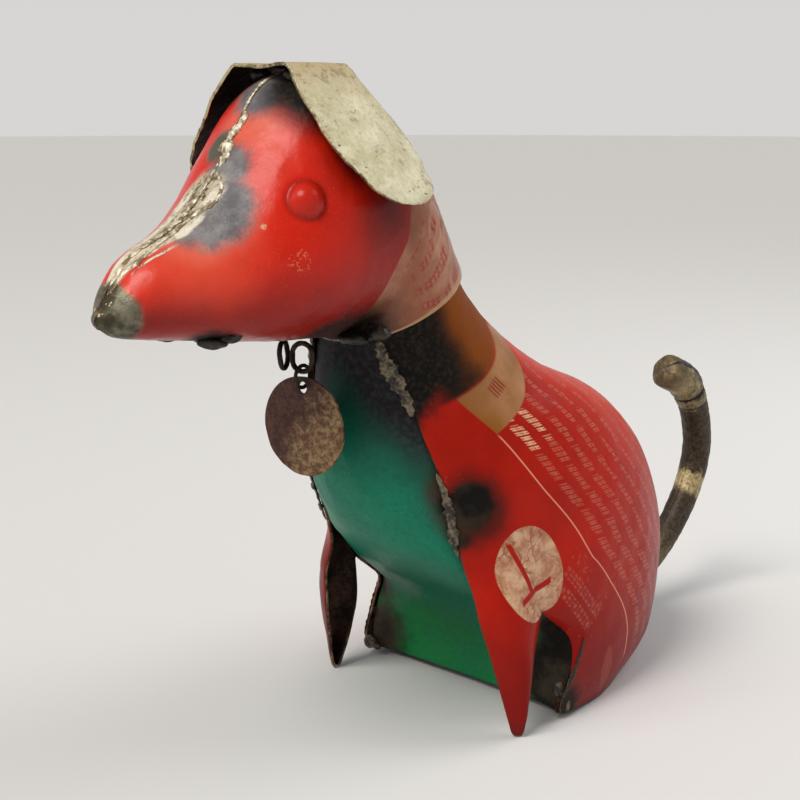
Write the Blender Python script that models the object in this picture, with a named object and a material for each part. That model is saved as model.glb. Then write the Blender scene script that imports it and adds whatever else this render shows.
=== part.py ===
"""Sitting dog welded together from cut and curled scrap sheet steel.

The dog looks along -Y, its left side is +X, and it sits on the plane z = 0 on the tips of
its two front legs and on the flat sheet that closes its seat. The origin is on that plane,
under the middle of the box round the whole figure. All lengths are in metres.
"""

import math

import bmesh
import bpy
import numpy as np
from mathutils import Matrix, Vector

# Sheet, wire and clearances
SHEET = 0.0009
SEAM_GAP = 0.0004
BACK_SEAM_GAP = 0.0007
SEAT_INSET = 3 * (SHEET + SEAM_GAP)
LINK_WIRE = 0.0016
RING_WIRE = 0.0012

# The pose and the free forms are given in two-hundredths of the figure's stature
STATURE = 0.200
UNIT = STATURE / 200

# The tag and what it hangs by
TAG_DIAMETER = 0.0286
TAG_HOLE = 0.0034
TAG_HOLE_EDGE = 0.0014
LINK_LENGTH = 0.0096
LINK_WIDTH = 0.0076

# The ring passes through the tag's hole and round the near link, and is just big enough
CHAIN_GAP = 0.0003
TAG_TO_LINK = 0.0006
TAG_RIM = TAG_HOLE_EDGE + (TAG_HOLE - RING_WIRE) / 2
RING_DIAMETER = 2 * RING_WIRE + TAG_RIM + TAG_TO_LINK + LINK_WIRE + CHAIN_GAP

# The punched eye
EYE_DIAMETER = 0.0094
EYE_HEIGHT = 0.0030

# Each station is a closed section across the figure, from one point of the middle plane to
# another: low or front y and z, high or back y and z, half width, squareness of the front
# half, squareness of the back half, and the place of the widest point from the front.
HEAD_STATIONS = (
    (-181.0, 131.6, -181.6, 136.4, 3.2, 2.0, 2.0, 0.50),
    (-176.6, 129.2, -177.4, 143.0, 8.0, 2.0, 2.0, 0.50),
    (-167.0, 127.6, -171.0, 149.5, 13.0, 2.1, 2.0, 0.48),
    (-151.0, 125.4, -157.4, 156.5, 20.4, 2.2, 1.85, 0.45),
    (-137.5, 123.8, -146.2, 167.0, 26.0, 2.2, 1.8, 0.44),
    (-126.0, 122.6, -136.4, 181.0, 29.2, 2.2, 1.75, 0.44),
    (-116.0, 122.0, -127.0, 191.6, 30.6, 2.2, 1.8, 0.45),
    (-109.5, 121.6, -112.0, 194.3, 31.0, 2.1, 1.9, 0.47),
    (-106.0, 121.2, -92.0, 184.0, 30.4, 2.0, 2.0, 0.50),
    (-104.3, 120.6, -77.0, 165.0, 28.4, 2.0, 2.0, 0.50),
    (-103.0, 120.0, -64.0, 143.0, 26.0, 2.0, 2.0, 0.50),
)
NOSE_TIP = (-182.4, 133.8)
BODY_STATIONS = (
    (-100.6, 125.5, -69.5, 146.5, 23.8, 2.0, 2.0, 0.50),
    (-101.2, 120.6, -66.0, 141.4, 24.4, 2.0, 2.0, 0.50),
    (-102.2, 113.5, -49.5, 123.5, 26.0, 2.0, 2.0, 0.50),
    (-103.6, 104.0, -24.0, 106.5, 29.6, 2.0, 2.0, 0.50),
    (-104.6, 91.0, 6.0, 93.5, 35.6, 2.0, 2.0, 0.50),
    (-101.8, 75.5, 26.0, 76.0, 41.0, 2.1, 2.0, 0.48),
    (-92.0, 59.0, 34.5, 58.5, 44.0, 2.2, 2.0, 0.46),
    (-73.0, 43.5, 38.0, 41.5, 45.0, 2.9, 2.1, 0.32),
    (-52.0, 28.5, 37.0, 25.0, 44.6, 4.5, 2.1, 0.16),
    (-47.0, 13.5, 34.0, 9.5, 44.0, 6.5, 2.0, 0.08),
    (-46.6, 0.0, 30.0, 0.0, 42.4, 11.0, 1.6, 0.04),
)
SEAT_LIFT = 2.6
SEAT_LIFT_FROM = -20.0
SEAT_LIFT_FADE = 30.0

# Angles round the body, in degrees from the seam along the back to the middle of the chest,
# at the stations from the neck down: the side sheet's front edge, the front edge of its haunch
# below the notch, and the edge of the chest sheet, which laps behind it
SIDE_EDGE = (148, 146, 142, 136.7, 137, 136, 141.5, 150, 150, 150, 150)
HAUNCH_EDGE = (110, 110, 108, 106, 106, 108, 112, 120, 127, 118, 108)
CHEST_EDGE = (140, 138, 134, 128, 123, 122, 112, 110, 114, 104, 96)

# How far the chest sheet's edges are beaten in behind the sides, at the same stations
CHEST_TUCK = (0.0, 0.0, 0.0, 0.0, 0.0, 0.0, 0.6, 2.6, 0.8, 0.6, 0.6)

# Where along the body the legs part from the haunches
SHOULDER_AT = 5.6
NOTCH_AT = 7.45

# The front leg below the notch: height, then the x and y of its front and rear edges and
# how far it bows outwards between them. Its rows crowd towards the rounded tip.
LEG_STATIONS = (
    (60.0, 28.0, -80.0, 42.0, -62.0, 5.0),
    (48.0, 30.4, -78.6, 43.4, -60.5, 4.8),
    (36.0, 33.1, -76.3, 43.4, -59.0, 5.4),
    (29.0, 34.8, -74.8, 38.2, -56.9, 8.0),
    (22.0, 36.1, -73.0, 36.7, -57.8, 8.2),
    (12.0, 37.5, -70.6, 36.3, -61.0, 6.8),
    (5.0, 38.6, -68.9, 37.5, -63.1, 4.8),
    (1.6, 38.9, -68.1, 38.1, -63.8, 3.6),
    (0.0, 39.4, -66.8, 38.8, -64.8, 2.0),
)

# The ear strip: distance from the crown to an ear's tip in shares, height above the ground,
# distance from the middle plane, middle of its width along y and half its width
EAR_STATIONS = (
    (0.00, 196.1, 0.0, -117.5, 10.3),
    (0.14, 196.6, 8.0, -117.6, 10.4),
    (0.22, 195.8, 11.6, -117.6, 10.9),
    (0.36, 189.0, 17.6, -117.2, 12.4),
    (0.60, 177.4, 27.4, -114.6, 13.8),
    (0.80, 168.2, 35.0, -112.9, 11.5),
    (1.00, 160.8, 40.6, -110.8, 1.6),
)
EAR_ROUND_FROM = 0.78
EAR_TIP_ROUNDING = 0.985
EAR_ROW_CROWDING = 0.85

# The tail: y, z and radius along its middle line, from the body to its knobbed end
TAIL_STATIONS = (
    (37.6, 13.0, 4.6),
    (52.0, 15.4, 5.0),
    (69.0, 26.5, 5.2),
    (82.0, 42.0, 5.4),
    (87.0, 57.0, 5.6),
    (84.0, 72.0, 5.8),
    (76.5, 83.0, 6.8),
    (66.5, 88.0, 7.0),
)
TAIL_ROOT_CLEARANCE = 0.0006

# The knob's closed end, in shares of the tail's last radius
KNOB_DOME = 0.55
KNOB_SHOULDER = 0.42
KNOB_SHOULDER_RADIUS = 0.5

# Where the tops of the two links are held below the jaw, and how things are turned
TAG_TURN = 8.0
NEAR_LINK_TOP = (0.0, -114.5, 121.3)
NEAR_LINK_TURN = (0.0, 0.0, 24.0)
FAR_LINK_TOP = (-8.4, -114.0, 121.0)
FAR_LINK_TURN = (0.0, 22.0, -62.0)

PAINT_RED = (0.62, 0.035, 0.018, 1.0)
PAINT_GREEN = (0.015, 0.17, 0.10, 1.0)
PAINT_CREAM = (0.60, 0.56, 0.40, 1.0)
BARE_STEEL = (0.10, 0.08, 0.06, 1.0)
RUSTED_STEEL = (0.13, 0.08, 0.055, 1.0)


def clear_scene():
    """Removes what is in the scene already."""
    for thing in list(bpy.data.objects):
        bpy.data.objects.remove(thing)


def finish(name, colour, roughness, metallic):
    """A plain surface finish."""
    material = bpy.data.materials.new(name)
    material.use_nodes = True
    shader = material.node_tree.nodes["Principled BSDF"]
    shader.inputs["Base Color"].default_value = colour
    shader.inputs["Roughness"].default_value = roughness
    shader.inputs["Metallic"].default_value = metallic
    return material


def spline(rows, places):
    """Rows of numbers read at places counted in rows, on a Catmull-Rom curve through them."""
    rows = np.asarray(rows, float)
    if rows.ndim == 1:
        rows = rows[:, None]
    ends = np.vstack([2 * rows[0] - rows[1], rows, 2 * rows[-1] - rows[-2]])
    places = np.clip(np.asarray(places, float), 0, len(rows) - 1)
    start = np.minimum(places.astype(int), len(rows) - 2)
    u = (places - start)[..., None]
    before, low, high, after = (ends[start + k] for k in range(4))
    bend = 2 * before - 5 * low + 4 * high - after
    return low + 0.5 * u * (high - before + u * (bend + u * (3 * (low - high) + after - before)))


def section(stations, places, angles):
    """Points on the skin through the stations, in metres.

    The angle is 0 at the high or back point, 90 at the widest and 180 at the front one,
    and each half of a section is a superellipse of its own squareness.
    """
    s = spline(stations, places)
    front, back = s[..., 0:2], s[..., 2:4]
    half_width, front_square, back_square, widest = (s[..., k] for k in range(4, 8))
    turn = np.radians(angles)
    cosine, sine = np.cos(turn), np.abs(np.sin(turn))
    square = np.where(cosine >= 0, back_square, front_square)
    chord = back - front
    share = np.where(cosine >= 0, 1 - widest, widest)
    along = widest + share * np.sign(cosine) * np.abs(cosine) ** (2 / square)
    middle = front + chord * along[..., None]
    x = half_width * sine ** (2 / square)
    return np.stack([x, middle[..., 0], middle[..., 1]], -1) * UNIT


def body_skin(places, angles):
    """Points on the body's skin. The seat lifts a little towards its front edge."""
    points = section(BODY_STATIONS, places, angles)
    y, z = points[..., 1] / UNIT, points[..., 2] / UNIT
    forward = np.clip((SEAT_LIFT_FROM - y) / (SEAT_LIFT_FROM - BODY_STATIONS[-1][0]), 0, 1)
    low = np.clip(1 - z / SEAT_LIFT_FADE, 0, 1)
    points[..., 2] += SEAT_LIFT * UNIT * forward * low
    return points


def grid_normals(points):
    """Unit normals of a grid of points, from its rows and columns."""
    along = np.gradient(points, axis=0)
    across = np.gradient(points, axis=1)
    normal = np.cross(along, across)
    return normal / np.maximum(np.linalg.norm(normal, axis=-1, keepdims=True), 1e-12)


def new_object(name, vertices, faces, material, parent, smooth=True):
    """A mesh object made from points and faces, with its faces turned outwards."""
    mesh = bpy.data.meshes.new(name)
    mesh.from_pydata([tuple(v) for v in vertices], [], faces)
    work = bmesh.new()
    work.from_mesh(mesh)
    bmesh.ops.remove_doubles(work, verts=work.verts, dist=1e-7)
    work.to_mesh(mesh)
    work.free()
    mesh.materials.append(material)
    made = bpy.data.objects.new(name, mesh)
    bpy.context.scene.collection.objects.link(made)
    made.parent = parent
    if smooth:
        mesh.shade_smooth()
        mesh.set_sharp_from_angle(angle=math.radians(40))
    return made


def thicken(made, thickness=SHEET):
    """Gives a sheet its thickness, behind the face it is drawn on."""
    wall = made.modifiers.new("sheet", "SOLIDIFY")
    wall.thickness = thickness
    wall.offset = -1
    wall.use_even_offset = True
    wall.use_quality_normals = True
    return made


def grid_faces(rows, columns, first=0):
    """Quads between neighbouring rows and columns of points numbered row by row."""
    return [
        (
            first + r * columns + c,
            first + r * columns + c + 1,
            first + (r + 1) * columns + c + 1,
            first + (r + 1) * columns + c,
        )
        for r in range(rows - 1)
        for c in range(columns - 1)
    ]


def mirror_x(points):
    """The same points on the other side of the middle plane."""
    return points * np.array([-1.0, 1.0, 1.0])


def sided(name, points, faces, material, parent):
    """Left and right copies of a sheet, the right one a mirror image."""
    pair = []
    for side in ("left", "right"):
        placed = points if side == "left" else mirror_x(points)
        turned = faces if side == "left" else [f[::-1] for f in faces]
        pair.append(thicken(new_object(f"{name}_{side}", placed, turned, material, parent)))
    return pair


def keep_off_middle(points, clearance=SEAM_GAP / 2):
    """Holds a half's points clear of the middle plane, where it meets its other half."""
    points[..., 0] = np.maximum(points[..., 0], clearance)
    return points


HEAD_ROWS = 19
HEAD_COLUMNS = 12


def head_halves(material, parent):
    """The head: two dished half shells welded along the top and the jaw, open at the neck."""
    places = np.linspace(0, len(HEAD_STATIONS) - 1, HEAD_ROWS)
    angles = np.linspace(0, 180, HEAD_COLUMNS)
    rows, columns = np.meshgrid(places, angles, indexing="ij")
    points = keep_off_middle(section(HEAD_STATIONS, rows, columns))
    tip = np.array([SEAM_GAP / 2, NOSE_TIP[0] * UNIT, NOSE_TIP[1] * UNIT])
    vertices = np.vstack([tip, points.reshape(-1, 3)])
    fan = [(0, c + 2, c + 1) for c in range(HEAD_COLUMNS - 1)]
    body = grid_faces(HEAD_ROWS, HEAD_COLUMNS, 1)
    return sided("head", vertices, fan + body, material, parent)


EYE_PLACE = 4.9
EYE_ANGLE_LEFT = 59.6
EYE_ANGLE_RIGHT = 68.0


def punch_eyes(halves):
    """Adds each eye, a round boss punched out of the sheet. The right one sits a bit lower."""
    radius = EYE_DIAMETER / 2
    for half, side, angle in zip(halves, (1, -1), (EYE_ANGLE_LEFT, EYE_ANGLE_RIGHT)):
        centre = section(HEAD_STATIONS, np.array([EYE_PLACE]), np.array([angle]))[0]
        bpy.ops.mesh.primitive_uv_sphere_add(segments=16, ring_count=10, radius=radius)
        boss = bpy.context.object
        boss.name = f"{half.name}_eye_tool"
        boss.data.transform(Matrix.Diagonal((EYE_HEIGHT / radius, 1, 1, 1)))
        boss.location = Vector((side * (centre[0] - SHEET / 2), centre[1], centre[2]))
        boss.parent = half.parent
        boss.hide_render = True
        boss.display_type = "WIRE"
        join = half.modifiers.new("eye", "BOOLEAN")
        join.operation = "UNION"
        join.object = boss


SIDE_ROWS = 20
HAUNCH_COLUMNS = 10
LEG_COLUMNS = 5
LEG_ROWS = 8
LEG_BOW_POWER = 0.8
LEG_ROW_CROWDING = 1.4


def leg_section(height, shares):
    """A front leg's cross-section at a height: a curled strip from front edge to rear."""
    table = np.array(LEG_STATIONS)[::-1]
    front_x, front_y, rear_x, rear_y, bow = (
        np.interp(height, table[:, 0], table[:, k]) for k in range(1, 6)
    )
    front, rear = np.array([front_x, front_y]), np.array([rear_x, rear_y])
    across = rear - front
    outward = np.array([across[1], -across[0]]) / np.linalg.norm(across)
    rise = np.sin(np.pi * shares) ** LEG_BOW_POWER
    flat = front + across * shares[:, None] + outward * bow * rise[:, None]
    return np.column_stack([flat, np.full(len(shares), height)]) * UNIT


def side_sheets(material, parent):
    """The two side sheets: half the neck and back, the shoulder, the leg and the haunch.

    Each is one sheet. A notch in its lower edge parts the curled front leg from the haunch.
    """
    last = len(BODY_STATIONS) - 1
    upper = np.linspace(0, NOTCH_AT, SIDE_ROWS * 7 // 10)
    lower = np.linspace(NOTCH_AT, last, SIDE_ROWS - len(upper) + 1)[1:]
    haunch_shares = np.linspace(0, 1, HAUNCH_COLUMNS)
    leg_shares = np.linspace(0, 1, LEG_COLUMNS)[::-1]

    vertices, faces, rows = [], [], []
    for place in upper:
        edge = spline(SIDE_EDGE, place)[0]
        notch = spline(HAUNCH_EDGE, place)[0]
        to_leg = notch + (edge - notch) * (1 - leg_shares)[1:]
        angles = np.concatenate([haunch_shares * notch, to_leg])
        ring = body_skin(np.full(len(angles), place), angles)
        blend = np.clip((place - SHOULDER_AT) / (NOTCH_AT - SHOULDER_AT), 0, 1)
        blend = blend * blend * (3 - 2 * blend)
        if blend > 0:
            height = ring[HAUNCH_COLUMNS - 1, 2] / UNIT
            leg = leg_section(height, leg_shares)
            leg += (ring[HAUNCH_COLUMNS - 1] - leg[0]) * leg_shares[:, None]
            ring[HAUNCH_COLUMNS - 1 :] += (leg - ring[HAUNCH_COLUMNS - 1 :]) * blend
        rows.append(range(len(vertices), len(vertices) + len(ring)))
        vertices += list(ring)
    for above, below in zip(rows, rows[1:]):
        faces += [(above[c], below[c], below[c + 1], above[c + 1]) for c in range(len(above) - 1)]

    above = rows[-1][:HAUNCH_COLUMNS]
    for place in lower:
        edge = spline(HAUNCH_EDGE, place)[0]
        ring = body_skin(np.full(HAUNCH_COLUMNS, place), haunch_shares * edge)
        below = range(len(vertices), len(vertices) + HAUNCH_COLUMNS)
        vertices += list(ring)
        faces += [(above[c], below[c], below[c + 1], above[c + 1]) for c in range(HAUNCH_COLUMNS - 1)]
        above = below

    above = rows[-1][HAUNCH_COLUMNS - 1 :]
    top = vertices[above[0]][2] / UNIT
    for height in top * np.linspace(1, 0, LEG_ROWS + 1)[1:] ** LEG_ROW_CROWDING:
        ring = leg_section(height, leg_shares)
        below = range(len(vertices), len(vertices) + LEG_COLUMNS)
        vertices += list(ring)
        faces += [(above[c], below[c], below[c + 1], above[c + 1]) for c in range(LEG_COLUMNS - 1)]
        above = below
    vertices = keep_off_middle(np.array(vertices), BACK_SEAM_GAP / 2)
    return sided("side", vertices, [f[::-1] for f in faces], material, parent)


CHEST_ROWS = 18
CHEST_COLUMNS = 13
TUCK_FROM = 0.45
TUCK_FULL = 0.7
CHEST_FROM = 0.9


def chest_sheet(material, parent):
    """The chest sheet, from the throat to the seat's front edge, lapped under the sides.

    Its edges are beaten in where they pass behind the legs and the haunches.
    """
    places = np.linspace(CHEST_FROM, len(BODY_STATIONS) - 1, CHEST_ROWS)
    shares = np.linspace(-1, 1, CHEST_COLUMNS)
    edges = spline(CHEST_EDGE, places)[:, 0]
    angles = 180 - (180 - edges)[:, None] * np.abs(shares)[None, :]
    rows = np.repeat(places[:, None], CHEST_COLUMNS, 1)
    points = body_skin(rows, angles)
    points[:, shares < 0, 0] *= -1
    outer = np.clip((np.abs(shares) - TUCK_FROM) / (TUCK_FULL - TUCK_FROM), 0, 1)
    tuck = spline(CHEST_TUCK, places) * UNIT * outer
    points -= grid_normals(points) * (SHEET + SEAM_GAP + tuck)[..., None]
    faces = [f[::-1] for f in grid_faces(CHEST_ROWS, CHEST_COLUMNS)]
    return thicken(new_object("chest", points.reshape(-1, 3), faces, material, parent))


SEAT_COLUMNS = 25


def seat_sheet(material, parent):
    """The sheet that closes the seat from below, inside the side and chest sheets."""
    half = np.linspace(0, 180, SEAT_COLUMNS)
    last = np.full(SEAT_COLUMNS, len(BODY_STATIONS) - 1.0)
    rim = body_skin(last, half)
    outline = np.vstack([rim, mirror_x(rim[1:-1])[::-1]])
    middle = outline.mean(0)
    reach = outline - middle
    length = np.linalg.norm(reach[:, :2], axis=1, keepdims=True)
    outline = middle + reach * (1 - SEAT_INSET / length)
    mesh = bpy.data.meshes.new("seat")
    work = bmesh.new()
    points = [work.verts.new((p[0], p[1], 0.0)) for p in outline]
    face = work.faces.new(points)
    bmesh.ops.recalc_face_normals(work, faces=[face])
    top = bmesh.ops.extrude_face_region(work, geom=[face])
    lifted = [v for v in top["geom"] if isinstance(v, bmesh.types.BMVert)]
    bmesh.ops.translate(work, verts=lifted, vec=(0, 0, SHEET))
    bmesh.ops.recalc_face_normals(work, faces=work.faces)
    work.to_mesh(mesh)
    work.free()
    mesh.materials.append(material)
    made = bpy.data.objects.new("seat", mesh)
    bpy.context.scene.collection.objects.link(made)
    made.parent = parent
    return made


EAR_ROWS = 25
EAR_COLUMNS = 7


def ear_strip(material, parent):
    """One strip laid over the crown and folded down at both sides into ears."""
    table = np.array(EAR_STATIONS)
    reach = np.linspace(-1, 1, EAR_ROWS)
    bent = np.sign(reach) * np.abs(reach) ** EAR_ROW_CROWDING
    place = np.interp(np.abs(bent), table[:, 0], np.arange(len(table)))
    s = spline(table, place)
    round_share = np.clip((np.abs(bent) - EAR_ROUND_FROM) / (1 - EAR_ROUND_FROM), 0, 1)
    widest = np.interp(EAR_ROUND_FROM, table[:, 0], table[:, 4])
    tip = widest * np.sqrt(1 - round_share**2 * EAR_TIP_ROUNDING)
    half_width = np.where(round_share > 0, tip, s[:, 4])
    shares = np.linspace(-1, 1, EAR_COLUMNS)
    x = np.sign(bent) * s[:, 2]
    points = np.stack(
        [
            np.repeat(x[:, None], EAR_COLUMNS, 1),
            s[:, 3][:, None] + half_width[:, None] * shares[None, :],
            np.repeat(s[:, 1][:, None], EAR_COLUMNS, 1),
        ],
        -1,
    ) * UNIT
    faces = [f[::-1] for f in grid_faces(EAR_ROWS, EAR_COLUMNS)]
    return thicken(new_object("ears", points.reshape(-1, 3), faces, material, parent))


TAIL_ROWS = 14
TAIL_COLUMNS = 10


def tail_tube(material, parent):
    """The tail: sheet rolled into a bent tube with a knobbed, closed end."""
    places = np.linspace(0, len(TAIL_STATIONS) - 1, TAIL_ROWS)
    s = spline(TAIL_STATIONS, places)
    back = section(BODY_STATIONS, np.array([9.0]), np.array([0.0]))[0]
    s[0, 0] = max(s[0, 0], back[1] / UNIT + TAIL_ROOT_CLEARANCE / UNIT)
    forward = np.gradient(s[:, :2], axis=0)
    forward /= np.linalg.norm(forward, axis=1, keepdims=True)
    turns = np.radians(np.arange(TAIL_COLUMNS) * 360 / TAIL_COLUMNS)
    normal = np.stack([-forward[:, 1], forward[:, 0]], -1)
    x = s[:, 2][:, None] * np.sin(turns)[None, :]
    up = s[:, 2][:, None] * np.cos(turns)[None, :]
    y = s[:, 0][:, None] + up * normal[:, 0][:, None]
    z = s[:, 1][:, None] + up * normal[:, 1][:, None]
    points = np.stack([x, y, z], -1) * UNIT
    dome = s[-1, :2] + forward[-1] * s[-1, 2] * KNOB_DOME
    centre = points[-1].mean(0)
    shoulder = centre + (points[-1] - centre) * KNOB_SHOULDER_RADIUS
    shoulder[:, 1:] += forward[-1] * s[-1, 2] * KNOB_SHOULDER * UNIT
    tip = np.array([0.0, dome[0] * UNIT, dome[1] * UNIT])
    vertices = np.vstack([points.reshape(-1, 3), shoulder, tip])
    faces = []
    for r in range(TAIL_ROWS):
        for c in range(TAIL_COLUMNS):
            n = (c + 1) % TAIL_COLUMNS
            low, high = r * TAIL_COLUMNS, (r + 1) * TAIL_COLUMNS
            faces.append((low + c, low + n, high + n, high + c))
    end = TAIL_ROWS * TAIL_COLUMNS
    faces += [(end + c, end + (c + 1) % TAIL_COLUMNS, len(vertices) - 1) for c in range(TAIL_COLUMNS)]
    return thicken(new_object("tail", vertices, faces, material, parent))


def hang(made, top, drop, turns):
    """Hangs an object with its middle a drop below a point of the jaw, and turns it."""
    made.location = Vector(top) * UNIT - Vector((0.0, 0.0, drop))
    made.rotation_euler = [math.radians(t) for t in turns]
    return made


def chain_drops():
    """How far below the near link's top the middles of the ring and of the tag hang."""
    ring_top = LINK_LENGTH - LINK_WIRE - CHAIN_GAP - RING_WIRE
    ring = ring_top + RING_DIAMETER / 2
    hole = ring_top + RING_DIAMETER - RING_WIRE / 2
    return ring, hole - TAG_HOLE / 2 - TAG_HOLE_EDGE + TAG_DIAMETER / 2


def tag_disc(material, parent):
    """The round tag with its hanging hole, standing on its edge and facing forwards."""
    steps, hole_steps = 40, 12
    radius = TAG_DIAMETER / 2
    mesh = bpy.data.meshes.new("tag")
    work = bmesh.new()
    bmesh.ops.create_cone(
        work, cap_ends=True, segments=steps, radius1=radius, radius2=radius, depth=SHEET
    )
    bmesh.ops.rotate(work, verts=work.verts, matrix=Matrix.Rotation(math.pi / 2, 3, "X"))
    work.to_mesh(mesh)
    work.free()
    mesh.materials.append(material)
    disc = bpy.data.objects.new("tag", mesh)
    bpy.context.scene.collection.objects.link(disc)
    disc.parent = parent
    drill = bpy.data.meshes.new("tag_drill")
    work = bmesh.new()
    hole = TAG_HOLE / 2
    bmesh.ops.create_cone(
        work, cap_ends=True, segments=hole_steps, radius1=hole, radius2=hole, depth=4 * SHEET
    )
    bmesh.ops.rotate(work, verts=work.verts, matrix=Matrix.Rotation(math.pi / 2, 3, "X"))
    up = radius - hole - TAG_HOLE_EDGE
    bmesh.ops.translate(work, verts=work.verts, vec=(0, 0, up))
    work.to_mesh(drill)
    work.free()
    tool = bpy.data.objects.new("tag_drill", drill)
    bpy.context.scene.collection.objects.link(tool)
    tool.parent = disc
    tool.hide_render = True
    tool.display_type = "WIRE"
    cut = disc.modifiers.new("hole", "BOOLEAN")
    cut.operation = "DIFFERENCE"
    cut.object = tool
    return hang(disc, NEAR_LINK_TOP, chain_drops()[1], (0.0, 0.0, TAG_TURN))


WIRE_SIDES = 6


def wire_loop(name, length, width, wire, steps, material, parent):
    """A closed loop of round wire in the XZ plane: a ring, or a long link with round ends."""
    radius = (width - wire) / 2
    straight = (length - width) / 2
    turns = np.arange(steps) * 2 * math.pi / steps
    outward = np.stack([np.cos(turns), np.zeros(steps), np.sin(turns)], -1)
    middle = outward * radius
    middle[:, 2] += np.where(np.sin(turns) > 1e-6, straight, -straight)
    flats = np.abs(np.sin(turns)) <= 1e-6
    middle[flats, 2] = 0.0
    sides = np.arange(WIRE_SIDES) * 2 * math.pi / WIRE_SIDES
    points = (
        middle[:, None, :]
        + outward[:, None, :] * np.cos(sides)[None, :, None] * wire / 2
        + np.array([0.0, 1.0, 0.0]) * np.sin(sides)[None, :, None] * wire / 2
    )
    faces = [
        (
            r * WIRE_SIDES + c,
            r * WIRE_SIDES + (c + 1) % WIRE_SIDES,
            (r + 1) % steps * WIRE_SIDES + (c + 1) % WIRE_SIDES,
            (r + 1) % steps * WIRE_SIDES + c,
        )
        for r in range(steps)
        for c in range(WIRE_SIDES)
    ]
    return new_object(name, points.reshape(-1, 3), faces, material, parent)


def tag_hangers(material, parent):
    """The tag's ring and the two links that it hangs from below the jaw."""
    ring = wire_loop("tag_ring", RING_DIAMETER, RING_DIAMETER, RING_WIRE, 16, material, parent)
    hang(ring, NEAR_LINK_TOP, chain_drops()[0], (0.0, 0.0, 90.0 + TAG_TURN))
    near = wire_loop("jaw_link_near", LINK_LENGTH, LINK_WIDTH, LINK_WIRE, 16, material, parent)
    hang(near, NEAR_LINK_TOP, LINK_LENGTH / 2, NEAR_LINK_TURN)
    far = wire_loop("jaw_link_far", LINK_LENGTH, LINK_WIDTH, LINK_WIRE, 16, material, parent)
    hang(far, FAR_LINK_TOP, LINK_LENGTH / 2, FAR_LINK_TURN)


def centre_frame(root):
    """Moves the whole figure along y, so that the origin is under the middle of its box."""
    bpy.context.view_layer.update()
    graph = bpy.context.evaluated_depsgraph_get()
    low, high = math.inf, -math.inf
    for made in root.children_recursive:
        if made.type == "MESH" and not made.hide_render:
            shape = made.evaluated_get(graph)
            ys = [(shape.matrix_world @ v.co).y for v in shape.data.vertices]
            low, high = min(low, *ys), max(high, *ys)
    root.location.y = -(low + high) / 2


def build():
    """Makes every piece of the dog."""
    clear_scene()
    root = bpy.data.objects.new("dog", None)
    bpy.context.scene.collection.objects.link(root)
    red = finish("red_paint", PAINT_RED, 0.42, 0.0)
    green = finish("green_paint", PAINT_GREEN, 0.5, 0.0)
    cream = finish("cream_paint", PAINT_CREAM, 0.6, 0.0)
    bare = finish("bare_steel", BARE_STEEL, 0.55, 0.8)
    rusted = finish("rusted_steel", RUSTED_STEEL, 0.7, 0.5)
    punch_eyes(head_halves(red, root))
    side_sheets(red, root)
    chest_sheet(green, root)
    seat_sheet(bare, root)
    ear_strip(cream, root)
    tail_tube(bare, root)
    tag_disc(rusted, root)
    tag_hangers(bare, root)
    centre_frame(root)


build()
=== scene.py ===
"""The scrap metal dog, dressed for its portrait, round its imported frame."""

import math

import bpy
import numpy as np
from mathutils import Matrix, Vector


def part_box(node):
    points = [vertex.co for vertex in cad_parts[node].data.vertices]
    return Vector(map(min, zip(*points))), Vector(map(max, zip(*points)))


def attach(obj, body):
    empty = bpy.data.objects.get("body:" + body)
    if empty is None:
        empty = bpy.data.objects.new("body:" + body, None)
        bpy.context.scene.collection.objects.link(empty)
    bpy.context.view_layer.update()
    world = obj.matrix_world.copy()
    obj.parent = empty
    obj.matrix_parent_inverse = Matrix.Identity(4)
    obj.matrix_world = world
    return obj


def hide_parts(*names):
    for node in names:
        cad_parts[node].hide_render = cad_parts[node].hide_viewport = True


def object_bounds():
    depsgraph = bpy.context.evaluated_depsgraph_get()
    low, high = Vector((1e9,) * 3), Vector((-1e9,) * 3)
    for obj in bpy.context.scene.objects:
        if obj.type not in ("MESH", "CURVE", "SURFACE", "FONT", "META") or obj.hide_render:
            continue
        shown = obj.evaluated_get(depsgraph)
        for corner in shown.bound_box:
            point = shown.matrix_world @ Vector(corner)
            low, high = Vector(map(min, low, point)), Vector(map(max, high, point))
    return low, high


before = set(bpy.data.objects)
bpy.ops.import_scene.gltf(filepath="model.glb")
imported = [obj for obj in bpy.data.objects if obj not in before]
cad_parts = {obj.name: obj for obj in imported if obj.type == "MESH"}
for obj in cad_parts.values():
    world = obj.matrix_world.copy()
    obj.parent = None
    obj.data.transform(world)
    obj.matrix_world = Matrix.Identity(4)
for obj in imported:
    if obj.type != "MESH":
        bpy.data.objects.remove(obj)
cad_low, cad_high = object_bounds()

# The chest is one sheet of green painted tinplate, beaten hollow under the belly and lapped
# behind the side sheets. Torch soot covers its throat and both its lower corners. The drawing
# is laid out from the middle between the leg tips, so it is slid along Y onto the frame.
SHEET = 0.0009
SEAM_GAP = 0.0004
MM = 0.001
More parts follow.
